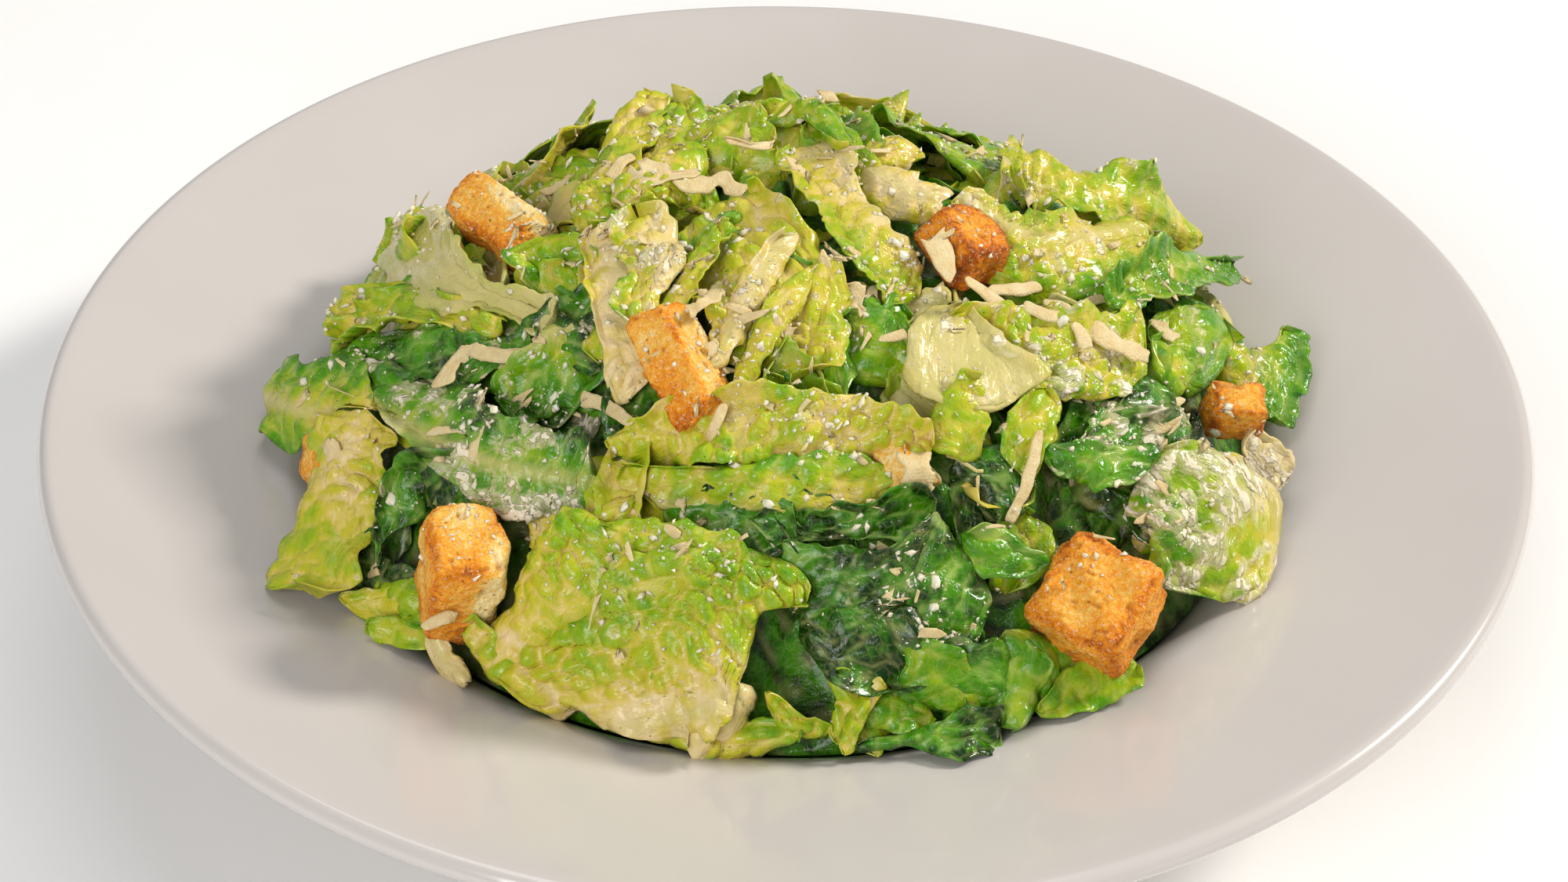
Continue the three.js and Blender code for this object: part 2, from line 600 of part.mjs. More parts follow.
/** Leaves laid in rows round the back of the heap, each a little different by a seeded draw. */
function backLeaves() {
  const { seed, kinds, rows, jitter, drift, turn, vary, lift, endLift, cup, frill } = BACK_LEAVES;
  const random = seededStream(seed);
  const between = (low, high) => low + (high - low) * random();
  const leaves = [];
  for (const row of rows) {
    for (let i = 0; i < row.count; i++) {
      const share = (i + 0.5 + jitter * between(-0.5, 0.5)) / row.count;
      const azimuth = THREE.MathUtils.degToRad(row.from + (row.to - row.from) * share);
      const radius = row.radius + drift * between(-0.5, 0.5);
      const heading = azimuth + THREE.MathUtils.degToRad(90 + between(-turn, turn));
      const half = (row.length * between(1 - vary, 1 + vary)) / 2;
      const width = row.halfWidth * between(1 - vary, 1 + vary);
      const path = [-1, 0, 1].map((end) => {
        const x = radius * Math.cos(azimuth) + end * half * Math.cos(heading);
        const y = radius * Math.sin(azimuth) + end * half * Math.sin(heading);
        return [x, y, bedHeight(x, y) + (end ? endLift : lift)];
      });
      const kind = kinds[leaves.length % kinds.length];
      const sides = [width * BACK_LEAVES.startWidth, width, width * BACK_LEAVES.endWidth];
      leaves.push(leaf(kind, between(...cup), frill, sides, [...sides].reverse(), path));
    }
  }
  return leaves;
}

// ---------------------------------------------------------------- heap

/** Height of the bare heap at (x, y). */
function bedHeight(x, y) {
  const [cx, cy] = HEAP.centre;
  const out = ((x - cx) ** 2 + (y - cy) ** 2) / HEAP.radius ** 2;
  return HEAP.base + HEAP.rise * Math.max(0, 1 - out) ** HEAP.roundness;
}

/** Height of the core at (x, y): the bare heap with a hump under each leaf. */
function coreHeight(x, y, leaves) {
  const bed = bedHeight(x, y);
  const humps = leaves.flatMap(({ path }) =>
    path.map(([px, py, pz]) => {
      const lift = pz - bedHeight(px, py);
      return lift * Math.exp(-((px - x) ** 2 + (py - y) ** 2) / HEAP.swell ** 2);
    }),
  );
  return bed + Math.max(0, ...humps);
}

/** The core: leaves too deep in the heap to see, as one body on the floor of the well. */
function coreSolid(leaves) {
  const { around, rings, floorRings, floorShare, aboveFloor } = HEAP;
  const [cx, cy] = HEAP.centre;
  const ring = (share, height) =>
    Array.from({ length: around }, (_, k) => {
      const angle = (2 * Math.PI * k) / around;
      const reach = HEAP.radius * share;
      const x = cx * (1 - share) + reach * Math.cos(angle);
      const y = cy * (1 - share) + reach * Math.sin(angle);
      return new THREE.Vector3(x, y, height(x, y));
    });
  const top = (x, y) => coreHeight(x, y, leaves);
  const floor = (x, y) => plateTopHeight(Math.hypot(x, y)) + aboveFloor;
  const vertices = [new THREE.Vector3(cx, cy, top(cx, cy))];
  for (let i = 1; i <= rings; i++) vertices.push(...ring(i / rings, top));
  for (let i = floorRings; i >= 1; i--) {
    vertices.push(...ring((floorShare * i) / floorRings, floor));
  }
  vertices.push(new THREE.Vector3(0, 0, floor(0, 0)));
  const last = vertices.length - 1;
  const total = rings + floorRings;
  const at = (i, k) => 1 + i * around + (k % around);
  const triangles = [];
  for (let k = 0; k < around; k++) {
    triangles.push(0, at(0, k), at(0, k + 1));
    triangles.push(last, at(total - 1, k + 1), at(total - 1, k));
    for (let i = 0; i + 1 < total; i++) {
      const [a, b, c, d] = [at(i, k), at(i + 1, k), at(i + 1, k + 1), at(i, k + 1)];
      triangles.push(a, b, c, a, c, d);
    }
  }
  return solidOf(closedGeometry(vertices, triangles));
}

/** The heap: core, leaves and cheese as one body, clear of the plate and the croutons. */
function heapGeometry(croutons) {
  const front = Object.values(FRONT_LEAVES);
  const back = backLeaves();
  let heap = coreSolid([...front, ...back]);
  front.forEach((piece, i) => {
    heap = heap.add(leafSolid(piece, i, LEAF.lean));
  });
  back.forEach((piece, i) => {
    heap = heap.add(leafSolid(piece, i, 0));
  });
  Object.values(SHREDS).forEach((piece, i) => {
    heap = heap.add(shredSolid(piece, i));
  });
  heap = withoutSlivers(largestBody(heap), SLIVER).subtract(belowPlate());
  for (const crouton of croutons) heap = heap.subtract(clearanceAround(crouton));
  return withCornersApart(geometryOf(withoutSlivers(largestBody(heap), LAST_SLIVER)));
}

// ---------------------------------------------------------------- croutons

/** A lumpy block with soft corners, wider at its foot by the taper. */
function croutonGeometry({ size, taper }, index) {
  const { facets, corner, bump, bumpPitch } = CROUTON;
  const block = new THREE.BoxGeometry(2, 2, 2, facets, facets, facets);
  const place = block.attributes.position;
  const p = new THREE.Vector3();
  for (let i = 0; i < place.count; i++) {
    p.fromBufferAttribute(place, i).normalize();
    const spread = [p.x, p.y, p.z].reduce((sum, c) => sum + Math.abs(c) ** corner, 0);
    p.multiplyScalar(spread ** (-1 / corner));
    const foot = 1 - taper * p.z;
    p.set((p.x * size[0] * foot) / 2, (p.y * size[1] * foot) / 2, (p.z * size[2]) / 2);
    const lump =
      Math.sin(bumpPitch * p.x + index) * Math.sin(bumpPitch * p.y + 2 * index) +
      Math.sin(bumpPitch * p.z + 3 * index) * Math.cos(bumpPitch * (p.x + p.y));
    p.addScaledVector(p.clone().normalize(), bump * lump);
    place.setXYZ(i, p.x, p.y, p.z);
  }
  block.deleteAttribute("normal");
  block.deleteAttribute("uv");
  const merged = mergeVertices(block, MERGE);
  merged.computeVertexNormals();
  return merged;
}

/** A crouton's own mesh, tilted and turned where it lies. */
function croutonMesh([name, crouton], index) {
  const mesh = new THREE.Mesh(croutonGeometry(crouton, index + 1), FINISH.crouton.clone());
  const [x, y, z] = crouton.turn.map((angle) => THREE.MathUtils.degToRad(angle));
  mesh.name = name;
  mesh.position.set(...crouton.at);
  mesh.rotation.set(x, y, z, "ZYX");
  mesh.updateMatrixWorld(true);
  return mesh;
}

/** A plain block round a crouton, grown by the gap, for cutting the heap clear of it. */
function clearanceAround(mesh) {
  mesh.geometry.computeBoundingBox();
  const { min, max } = mesh.geometry.boundingBox;
  const size = new THREE.Vector3().subVectors(max, min).addScalar(2 * GAP);
  const block = new THREE.BoxGeometry(size.x, size.y, size.z);
  block.translate((min.x + max.x) / 2, (min.y + max.y) / 2, (min.z + max.z) / 2);
  return solidOf(block.applyMatrix4(mesh.matrixWorld));
}

// ---------------------------------------------------------------- finishes and assembly

const FINISH = {
  plate: new THREE.MeshStandardMaterial({ color: "#dcd8d4", roughness: 0.15, metalness: 0 }),
  heap: new THREE.MeshStandardMaterial({ color: "#9fae4e", roughness: 0.45, metalness: 0 }),
  crouton: new THREE.MeshStandardMaterial({ color: "#d99a4e", roughness: 0.8, metalness: 0 }),
};

const plate = new THREE.Mesh(plateGeometry(), FINISH.plate);
plate.name = "plate";

const croutons = new THREE.Group();
croutons.add(...Object.entries(CROUTONS).map(croutonMesh));

const heap = new THREE.Mesh(heapGeometry(croutons.children), FINISH.heap);
heap.name = "lettuce_heap";

const salad = new THREE.Group();
salad.add(plate, heap, croutons);

export default salad;
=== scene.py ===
"""The looks of a caesar salad on its wide-rimmed plate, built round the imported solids.

The frame is the solids' own: +Z up, the front of the salad towards -Y, and the origin under the
middle of the plate. Sizes are in millimetres, and turn into metres where a mesh is made.
"""

from __future__ import annotations

import itertools
import logging
import math
from collections.abc import Callable
from dataclasses import dataclass, field
from enum import Enum

import bpy
import numpy as np
from mathutils import Matrix, Vector
from mathutils.bvhtree import BVHTree

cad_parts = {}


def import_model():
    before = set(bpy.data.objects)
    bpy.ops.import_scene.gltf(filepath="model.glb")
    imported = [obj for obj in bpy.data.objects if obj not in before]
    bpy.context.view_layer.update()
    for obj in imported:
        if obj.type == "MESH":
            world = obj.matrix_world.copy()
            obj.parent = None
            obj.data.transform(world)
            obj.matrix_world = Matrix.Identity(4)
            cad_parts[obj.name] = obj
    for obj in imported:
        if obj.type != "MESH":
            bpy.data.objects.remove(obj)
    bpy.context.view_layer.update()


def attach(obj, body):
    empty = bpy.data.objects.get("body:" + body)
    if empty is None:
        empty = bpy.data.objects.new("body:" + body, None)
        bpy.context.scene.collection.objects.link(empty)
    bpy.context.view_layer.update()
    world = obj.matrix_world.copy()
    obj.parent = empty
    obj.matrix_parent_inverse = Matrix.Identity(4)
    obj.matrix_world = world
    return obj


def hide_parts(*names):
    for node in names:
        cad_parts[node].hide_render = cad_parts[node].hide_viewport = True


log = logging.getLogger("salad")

Array = np.ndarray
Point = tuple[float, float, float]
Three = tuple[float, float, float]
Pair = tuple[float, float]
Widths = tuple[float, ...]
Stops = tuple[tuple[float, str], ...]
Material = bpy.types.Material
Piece = bpy.types.Object
Socket = bpy.types.NodeSocket

MM = 0.001


# ---------------- numbers and noise


def blend(low: float, high: float, value: Array) -> Array:
    """A smooth step from 0 at low to 1 at high."""
    share = np.clip((value - low) / (high - low), 0, 1)
    return share * share * (3 - 2 * share)


def through(values: Widths, u: Array) -> Array:
    """A smooth curve through a row of values.

    Args:
        values: what it passes through, spread evenly.
        u: where along it, from 0 to 1.

    Returns:
        The curve's value at each place.
    """
    known = np.array([2 * values[0] - values[1], *values, 2 * values[-1] - values[-2]])
    share = np.clip(u, 0, 1) * (len(values) - 1)
    k = np.minimum(share.astype(int), len(values) - 2)
    t = share - k
    a, b, c, d = known[k], known[k + 1], known[k + 2], known[k + 3]
    bend = 2 * a - 5 * b + 4 * c - d
    return b + 0.5 * ((c - a) * t + bend * t**2 + (3 * b - a - 3 * c + d) * t**3)


def unit(vectors: Array) -> Array:
    """The vectors at length 1."""
    return vectors / np.maximum(np.linalg.norm(vectors, axis=-1, keepdims=True), 1e-9)


def seeded_stream(seed: int) -> Callable[[], float]:
    """A repeatable stream of numbers between 0 and 1, the same as the solids' own.

    Args:
        seed: the stream's first state.

    Returns:
        A function that gives the next number each time it is called.
    """
    modulus, multiplier = 2147483647, 16807
    state = [seed]

    def draw() -> float:
        """The next number."""
        state[0] = (state[0] * multiplier) % modulus
        return state[0] / modulus

    return draw


# Large odd numbers that turn a lattice cell's place into a number without a pattern.
CELL_FACTORS = (73856093, 19349663, 83492791)
SEED_FACTOR = 2654435
MIX_FACTORS = (1274126177, 668265263)
ALL_BITS, LOW_BITS = 0x7FFFFFFF, 0xFFFF


@dataclass(frozen=True)
class Noise:
    """Repeatable noise in space.

    Attributes:
        seed: which of many patterns it is.
    """

    seed: int = 1

    def _draw(self, cell: Array) -> Array:
        """Random numbers for lattice cells.

        Args:
            cell: whole numbers in three columns.

        Returns:
            A number from 0 to 1 for each cell.
        """
        a, b, c = (cell[..., k].astype(np.int64) * CELL_FACTORS[k] for k in range(3))
        mixed = ((a ^ b ^ c) + self.seed * SEED_FACTOR) & ALL_BITS
        for shift, factor in zip((13, 16), MIX_FACTORS):
            mixed = ((mixed ^ (mixed >> shift)) * factor) & ALL_BITS
        return ((mixed >> 7) & LOW_BITS) / float(LOW_BITS)

    def lumps(self, points: Array, size: float) -> Array:
        """Smooth noise from -1 to 1.

        Args:
            points: where, with three columns.
            size: how far apart the lumps are, in the points' own unit.

        Returns:
            One value for each point.
        """
        place = points / size
        cell = np.floor(place)
        inside = place - cell
        inside = inside * inside * (3 - 2 * inside)
        total = np.zeros(points.shape[:-1])
        for corner in itertools.product((0, 1), repeat=3):
            weight = np.prod(np.where(corner, inside, 1 - inside), axis=-1)
            total += weight * self._draw(cell + np.array(corner))
        return 2 * total - 1

    def layers(self, points: Array, *layers: Pair) -> Array:
        """Lumps of several sizes added up, each layer given by its height and its size."""
        return sum(height * self.lumps(points, size) for height, size in layers)

    def walls(self, flat: Array, size: float) -> tuple[Array, Array]:
        """Irregular cells on a surface, as veins divide a leaf.

        Args:
            flat: where, with two columns.
            size: the cells' size, in the same unit.

        Returns:
            How far each point is from its cell's middle and from the nearest wall, in cells.
        """
        place = flat / size
        base = np.floor(place)
        far, other_draw = 9.0, 71
        near = np.full(place.shape[:-1], far)
        second = near.copy()
        for step in itertools.product((-1, 0, 1), repeat=2):
            cell = base + np.array(step)
            key = np.concatenate([cell, np.zeros_like(cell[..., :1])], axis=-1)
            seed_point = cell + np.stack([self._draw(key), self._draw(key + other_draw)], axis=-1)
            distance = np.linalg.norm(seed_point - place, axis=-1)
            second = np.minimum(second, np.maximum(near, distance))
            near = np.minimum(near, distance)
        return near, second - near


# ---------------- meshes from arrays


@dataclass
class Batch:
    """Shapes gathered from arrays, which become one mesh.

    Attributes:
        points: each shape's points.
        faces: its faces, as indices among all the points.
        values: for each named value, one array a shape, with a number or vector for each point.
        count: how many points there are so far.
    """

    points: list[Array] = field(default_factory=list)
    faces: list[Array] = field(default_factory=list)
    values: dict[str, list[Array]] = field(default_factory=dict)
    count: int = 0

    def add(self, points: Array, faces: Array, **values: Array) -> None:
        """Adds one shape.

        Args:
            points: its points in millimetres.
            faces: its faces, all with the same number of corners, as indices of its points.
            **values: named values, one for each point.
        """
        self.points.append(points.reshape(-1, 3))
        self.faces.append(faces + self.count)
        self.count += len(self.points[-1])
        for name, value in values.items():
            self.values.setdefault(name, []).append(value)

    def add_rings(self, rings: Array, turned: bool = False, **values: Array) -> None:
        """Adds one closed shape from rings of points, with both its ends filled.

        Args:
            rings: its points in millimetres, ring after ring.
            turned: whether its faces are turned round, for rings that run the other way.
            **values: named values, one for each point.
        """
        count, around = rings.shape[:2]
        start, step = self.count, -1 if turned else 1
        first = np.arange(around)
        ends = np.stack([first, (count - 1) * around + first[::-1]])
        self.add(rings, grid_faces(count, around, closed=True)[:, ::step], **values)
        self.faces.append(start + ends[:, ::step])

    def triangles(self) -> int:
        """How many triangles the mesh will have."""
        return sum(len(f) * (f.shape[1] - 2) for f in self.faces)

    def build(self, name: str, material: Material, smooth: bool = True) -> Piece:
        """Makes the object.

        Args:
            name: the object's name.
            material: its only material.
            smooth: whether its faces are shaded as one curved surface.

        Returns:
            The object, linked to the scene.
        """
        mesh = bpy.data.meshes.new(name)
        points = np.concatenate(self.points) * MM
        corners = np.concatenate([f.ravel() for f in self.faces])
        sizes = np.concatenate([np.full(len(f), f.shape[1]) for f in self.faces])
        mesh.vertices.add(len(points))
        mesh.vertices.foreach_set("co", points.astype(np.float32).ravel())
        mesh.loops.add(len(corners))
        mesh.loops.foreach_set("vertex_index", corners.astype(np.int32))
        mesh.polygons.add(len(sizes))
        mesh.polygons.foreach_set("loop_start", (np.cumsum(sizes) - sizes).astype(np.int32))
        mesh.polygons.foreach_set("use_smooth", np.full(len(sizes), smooth))
        mesh.update(calc_edges=True)
        for key, parts in self.values.items():
            value = np.concatenate(parts).astype(np.float32)
            kind, slot = ("FLOAT", "value") if value.ndim == 1 else ("FLOAT_VECTOR", "vector")
            layer = mesh.attributes.new(key, kind, "POINT")
            layer.data.foreach_set(slot, value.ravel())
        mesh.materials.append(material)
        made = bpy.data.objects.new(name, mesh)
        bpy.context.scene.collection.objects.link(made)
        return made


def grid_faces(rows: int, columns: int, start: int = 0, closed: bool = False) -> Array:
    """The quads of a grid of points.

    Args:
        rows: points one way.
        columns: points the other way.
        start: the first point's index.
        closed: whether the last column meets the first.

    Returns:
        The faces, four corners each.
    """
    at = start + np.arange(rows * columns).reshape(rows, columns)
    if closed:
        at = np.concatenate([at, at[:, :1]], axis=1)
    quads = np.stack([at[:-1, :-1], at[1:, :-1], at[1:, 1:], at[:-1, 1:]], axis=-1)
    return quads.reshape(-1, 4)


def grid_normals(points: Array) -> Array:
    """The surface normals of a grid of points."""
    return unit(np.cross(np.gradient(points, axis=0), np.gradient(points, axis=1)))


# ---------------- finishes


def linear(colour: str) -> tuple[float, float, float, float]:
    """Turns a written colour into light values.

    Args:
        colour: six hexadecimal digits.

    Returns:
        Red, green, blue and full cover, from 0 to 1.
    """
    parts = [int(colour[k : k + 2], 16) / 255 for k in (0, 2, 4)]
    red, green, blue = (c / 12.92 if c <= 0.04045 else ((c + 0.055) / 1.055) ** 2.4 for c in parts)
    return red, green, blue, 1.0


@dataclass
class Finish:
    """A material under construction: a node tree with one shader.

    Attributes:
        name: the material's name.
    """

    name: str

    def __post_init__(self) -> None:
        """Starts the material with its shader and output."""
        self.material = bpy.data.materials.new(self.name)
        self.material.use_nodes = True
        self.tree = self.material.node_tree
        self.shader = self.tree.nodes["Principled BSDF"]
        self.object_place = self.tree.nodes.new("ShaderNodeTexCoord").outputs["Object"]

    def node(
        self, kind: str, inputs: dict[str | int, object] | None = None, **settings: object
    ) -> bpy.types.Node:
        """Adds a node.

        Args:
            kind: the node's type.
            inputs: sockets to link or set, by name or place.
            **settings: the node's own properties.

        Returns:
            The node.
        """
        made = self.tree.nodes.new(kind)
        for key, value in settings.items():
            setattr(made, key, value)
        for key, value in (inputs or {}).items():
            self.feed(made.inputs[key], value)
        return made

    def feed(self, socket: Socket, value: object) -> None:
        """Links a socket to another socket, or sets its number or colour.

        Args:
            socket: the one that takes the value.
            value: another socket, a number or a colour.
        """
        if isinstance(value, Socket):
            self.tree.links.new(value, socket)
        else:
            socket.default_value = value

    def value(self, name: str) -> Socket:
        """A named number of the mesh."""
        return self.node("ShaderNodeAttribute", attribute_name=name).outputs["Fac"]

    def noise(self, size: float, detail: float = 2.0) -> Socket:
        """Noise from 0 to 1 with lumps of a size in millimetres, in the object's own space."""
        inputs = {"Vector": self.object_place, "Scale": 1 / (size * MM), "Detail": detail}
        return self.node("ShaderNodeTexNoise", inputs).outputs["Fac"]

    def streaks(self, place: object, scale: float, detail: float, twist: float) -> Socket:
        """Swirling noise from 0 to 1.

        Args:
            place: the leaf's own place, in millimetres.
            scale: lumps in a millimetre.
            detail: how many finer layers it has.
            twist: how far it is swirled.

        Returns:
            The noise's socket.
        """
        inputs = {"Vector": place, "Scale": scale, "Detail": detail, "Distortion": twist}
        return self.node("ShaderNodeTexNoise", inputs).outputs["Fac"]

    def specks(self, scale: float, small: float, large: float, share: float) -> Socket:
        """Scattered round specks.

        Args:
            scale: specks in a metre.
            small: the part of the space between them that they fill.
            large: the part where they have faded out.
            share: how much they cover.

        Returns:
            How much a speck covers, from none to the share.
        """
        cells = self.node("ShaderNodeTexVoronoi", {"Vector": self.object_place, "Scale": scale})
        return self.step(cells.outputs["Distance"], small, large, (share, 0.0))

    def math(self, operation: str, *values: object) -> Socket:
        """The result of a sum on numbers or sockets."""
        return self.node("ShaderNodeMath", dict(enumerate(values)), operation=operation).outputs[0]

    def drift(self, size: float, low: float, high: float, detail: float = 2.0) -> Socket:
        """A value that drifts from low to high over lumps of a size in millimetres."""
        return self.step(self.noise(size, detail), 0.3, 0.7, (low, high))

    def step(self, value: object, low: float, high: float, to: Pair = (0.0, 1.0)) -> Socket:
        """A smooth step.

        Args:
            value: what it depends on.
            low: the value where it starts.
            high: the value where it ends.
            to: what it gives at its start and its end.

        Returns:
            The step's socket.
        """
        inputs = {"Value": value, "From Min": low, "From Max": high, "To Min": to[0], "To Max": to[1]}
        made = self.node("ShaderNodeMapRange", inputs, interpolation_type="SMOOTHSTEP")
        return made.outputs["Result"]

    def ramp(self, value: object, *stops: tuple[float, str]) -> Socket:
        """A colour that runs through stops.

        Args:
            value: what it depends on, from 0 to 1.
            *stops: places and colours, in order.

        Returns:
            The colour's socket.
        """
        made = self.node("ShaderNodeValToRGB", {"Fac": value})
        elements = made.color_ramp.elements
        while len(elements) < len(stops):
            elements.new(0.5)
        for element, (position, colour) in zip(elements, stops):
            element.position = position
            element.color = linear(colour)
        return made.outputs["Color"]

    def mix(self, share: object, first: object, second: object) -> Socket:
        """One colour over another.

        Args:
            share: how much of the second colour shows, from 0 to 1.
            first: the colour below.
            second: the colour over it.

        Returns:
            The mixed colour's socket.
        """
        made = self.node("ShaderNodeMix", data_type="RGBA")
        colours = [linear(c) if isinstance(c, str) else c for c in (first, second)]
        for place, value in zip((0, 6, 7), (share, *colours)):  # the colour form's own sockets
            self.feed(made.inputs[place], value)
        return made.outputs[2]

    def bump(self, height: object, depth: float, under: Socket | None = None) -> Socket:
        """A bumped normal.

        Args:
            height: the relief, from 0 to 1.
            depth: how deep it is, in millimetres.
            under: a bumped normal that it lies on.

        Returns:
            The normal's socket.
        """
        inputs = {"Height": height, "Distance": depth * MM, "Strength": 1.0}
        if under is not None:
            inputs["Normal"] = under
        return self.node("ShaderNodeBump", inputs).outputs["Normal"]

    def finish(self, **sockets: object) -> Material:
        """Sets the shader's sockets.

        Args:
            **sockets: their links, numbers or colours, named with underscores for spaces.

        Returns:
            The finished material.
        """
        for key, value in sockets.items():
            self.feed(self.shader.inputs[key.replace("_", " ")], value)
        return self.material


@dataclass(frozen=True)
class LeafFinish:
    """Fresh leaves, moist, with creamy dressing where it clings.

    Attributes:
        tones: the blade's colours from the palest heart to the darkest outer leaf; the last, near black, is
            also painted shade for the core and the leaves in the hollows.
        ribs: the rib's colours, from its shaded to its clean parts.
        cream: the dressing's thin and thick colour.
        vein: the veins' colour.
        pepper: colour of the specks of pepper.
        web: cells of the finest veins in a millimetre.
        wrinkles: the fine wrinkles' lumps in a millimetre, finer layers and twist.
        swirls: the same for the film of dressing.
    """

    tones: Stops = (
        (0.0, "ead09a"),
        (0.12, "dcc264"),
        (0.25, "c6ba2c"),
        (0.42, "9cb20c"),
        (0.65, "5a9604"),
        (0.85, "3a7c04"),
        # The last stop is partly the darkest outer leaf and partly painted shade, for the core and the
        # leaves deep in the hollows.
        (1.0, "0e3302"),
    )
    ribs: Stops = ((0.0, "b4b05a"), (0.6, "d0c27e"), (1.0, "e6d4a2"))
    cream: Stops = ((0.0, "dccb8e"), (0.6, "ebdcb2"), (1.0, "f6e9d0"))
    vein: str = "d6d488"
    pepper: str = "3a3018"
    web: float = 0.62
    wrinkles: Three = (0.42, 3.0, 0.6)
    swirls: Three = (0.65, 6.0, 0.8)

    def make(self, name: str) -> Material:
        """Makes the material.

        Args:
            name: what it is called.

        Returns:
            The material.
        """
        f = Finish(name)
        tone = f.math("ADD", f.value("tone"), f.drift(3.5, -0.08, 0.08))
        blade = f.ramp(tone, *self.tones)
        place = f.node("ShaderNodeAttribute", attribute_name="place").outputs["Vector"]
        cells = {"Vector": place, "Scale": self.web}
        fine = f.node("ShaderNodeTexVoronoi", cells, feature="DISTANCE_TO_EDGE").outputs["Distance"]
        blade_only = f.step(f.value("pale"), 0.2, 0.6, (1.0, 0.0))
        web = f.math("MULTIPLY", f.step(fine, 0.0, 0.16, (1.0, 0.0)), blade_only)
        veins = f.math("MAXIMUM", f.value("vein"), f.math("MULTIPLY", web, 0.22))
        bare = f.math("SUBTRACT", 0.34, f.math("MULTIPLY", f.value("cream"), 0.3))
        blade = f.mix(f.math("MULTIPLY", veins, bare), blade, self.vein)
        rib = f.ramp(f.noise(6.0, 3.0), *self.ribs)
        body = f.mix(f.value("pale"), blade, rib)
        streak = f.node("ShaderNodeMapping", {"Vector": place, "Scale": (0.5, 1.0, 1.0)}).outputs["Vector"]
        wrinkle = f.streaks(streak, *self.wrinkles)
        swirl = f.streaks(streak, *self.swirls)
        film = f.math("MULTIPLY", f.value("cream"), f.step(swirl, 0.36, 0.64, (0.45, 1.25)))
        haze = f.step(swirl, 0.5, 0.8, (0.0, 0.03))
        thin = f.math("ADD", f.step(film, 0.15, 0.65, (0.0, 0.55)), haze)
        thick = f.ramp(f.math("ADD", film, f.drift(2.0, -0.3, 0.1)), *self.cream)
        film = f.step(film, 0.6, 1.05, (0.0, 0.9))
        colour = f.mix(f.math("MAXIMUM", thin, film), body, thick)
        colour = f.mix(f.specks(330.0, 0.03, 0.07, 0.8), colour, self.pepper)
        normal = f.bump(f.noise(0.8, 2.0), 0.12)
        normal = f.bump(wrinkle, 0.8, normal)
        normal = f.bump(web, -0.04, normal)
        normal = f.bump(film, 0.35, normal)
        return f.finish(
            Base_Color=colour,
            Roughness=f.drift(2.6, 0.16, 0.34),
            Normal=normal,
            IOR=1.32,
            Subsurface_Weight=0.1,
            Subsurface_Radius=(0.7, 1.0, 0.25),
            Subsurface_Scale=0.0009,
            Coat_Weight=0.24,
            Coat_Roughness=0.1,
        )


@dataclass(frozen=True)
class CheeseFinish:
    """Dry grated hard cheese, a little see-through at its edges.

    Attributes:
        colours: from its deepest to its palest colour.
    """

    colours: Stops = ((0.0, "cca968"), (0.5, "dfc792"), (1.0, "eedfb8"))

    def make(self, name: str) -> Material:
        """Makes the material.

        Args:
            name: what it is called.

        Returns:
            The material.
        """
        f = Finish(name)
        colour = f.ramp(f.noise(2.2, 4.0), *self.colours)
        return f.finish(
            Base_Color=colour,
            Roughness=f.drift(1.0, 0.45, 0.65),
            Normal=f.bump(f.noise(0.45, 4.0), 0.3),
            IOR=1.44,
            Subsurface_Weight=0.2,
            Subsurface_Radius=(1.0, 0.75, 0.4),
            Subsurface_Scale=0.0012,
        )


@dataclass(frozen=True)
class DressingFinish:
    """Thick creamy dressing, wet and glossy.

    Attributes:
        colour: of its clean parts.
        shade: of the parts that took up oil.
    """

    colour: str = "f3ead2"
    shade: str = "e6d9b4"

    def make(self, name: str) -> Material:
        """Makes the material.

        Args:
            name: what it is called.

        Returns:
            The material.
        """
        f = Finish(name)
        return f.finish(
            Base_Color=f.mix(f.step(f.noise(1.6, 3.0), 0.35, 0.65), self.shade, self.colour),
            Roughness=f.drift(1.2, 0.2, 0.34),
            Normal=f.bump(f.noise(1.1, 2.0), 0.15),
            IOR=1.46,
            Subsurface_Weight=0.4,
            Subsurface_Radius=(1.0, 0.85, 0.6),
            Subsurface_Scale=0.0015,
        )


@dataclass(frozen=True)
class BreadFinish:
    """Toasted bread: pale crumb, golden where it browned, with open pores darkened by painted shade, and
    crusty grains.

    Attributes:
        toast: colours from the pale crumb to the darkest edge.
        grain: colour of the pale grains.
        pore: painted shade deep in the pores.
        herb: colour of the herb specks.
    """

    toast: Stops = (
        (0.0, "fbe3a6"),
        (0.25, "f6bf52"),
        (0.5, "f29c22"),
        (0.75, "d8770c"),
        (1.0, "a04a08"),
    )
    grain: str = "ffe9c0"
    pore: str = "a55a1c"
    herb: str = "6b2f0c"

    def make(self, name: str) -> Material:
        """Makes the material.

        Args:
            name: what it is called.

        Returns:
            The material.
        """
        f = Finish(name)
        browned = f.math("ADD", f.value("toast"), f.drift(1.1, -0.13, 0.13, 4.0))
        browned = f.math("ADD", browned, f.drift(0.5, -0.1, 0.1))
        colour = f.ramp(browned, *self.toast)
        colour = f.mix(f.step(f.noise(0.55), 0.56, 0.68, (0.0, 0.4)), colour, self.grain)
        # Painted shade: the pores are darkened towards the pore colour.
        colour = f.mix(f.math("MULTIPLY", f.value("pit"), 0.6), colour, self.pore)
        colour = f.mix(f.specks(260.0, 0.05, 0.1, 0.7), colour, self.herb)
        normal = f.bump(f.noise(0.7, 4.0), 0.5)
        normal = f.bump(f.noise(0.28, 3.0), 0.2, normal)
        return f.finish(
            Base_Color=colour,
            Roughness=f.drift(1.5, 0.55, 0.8),
            Normal=normal,
            IOR=1.33,
            Subsurface_Weight=0.12,
            Subsurface_Radius=(1.0, 0.6, 0.25),
            Subsurface_Scale=0.001,
        )


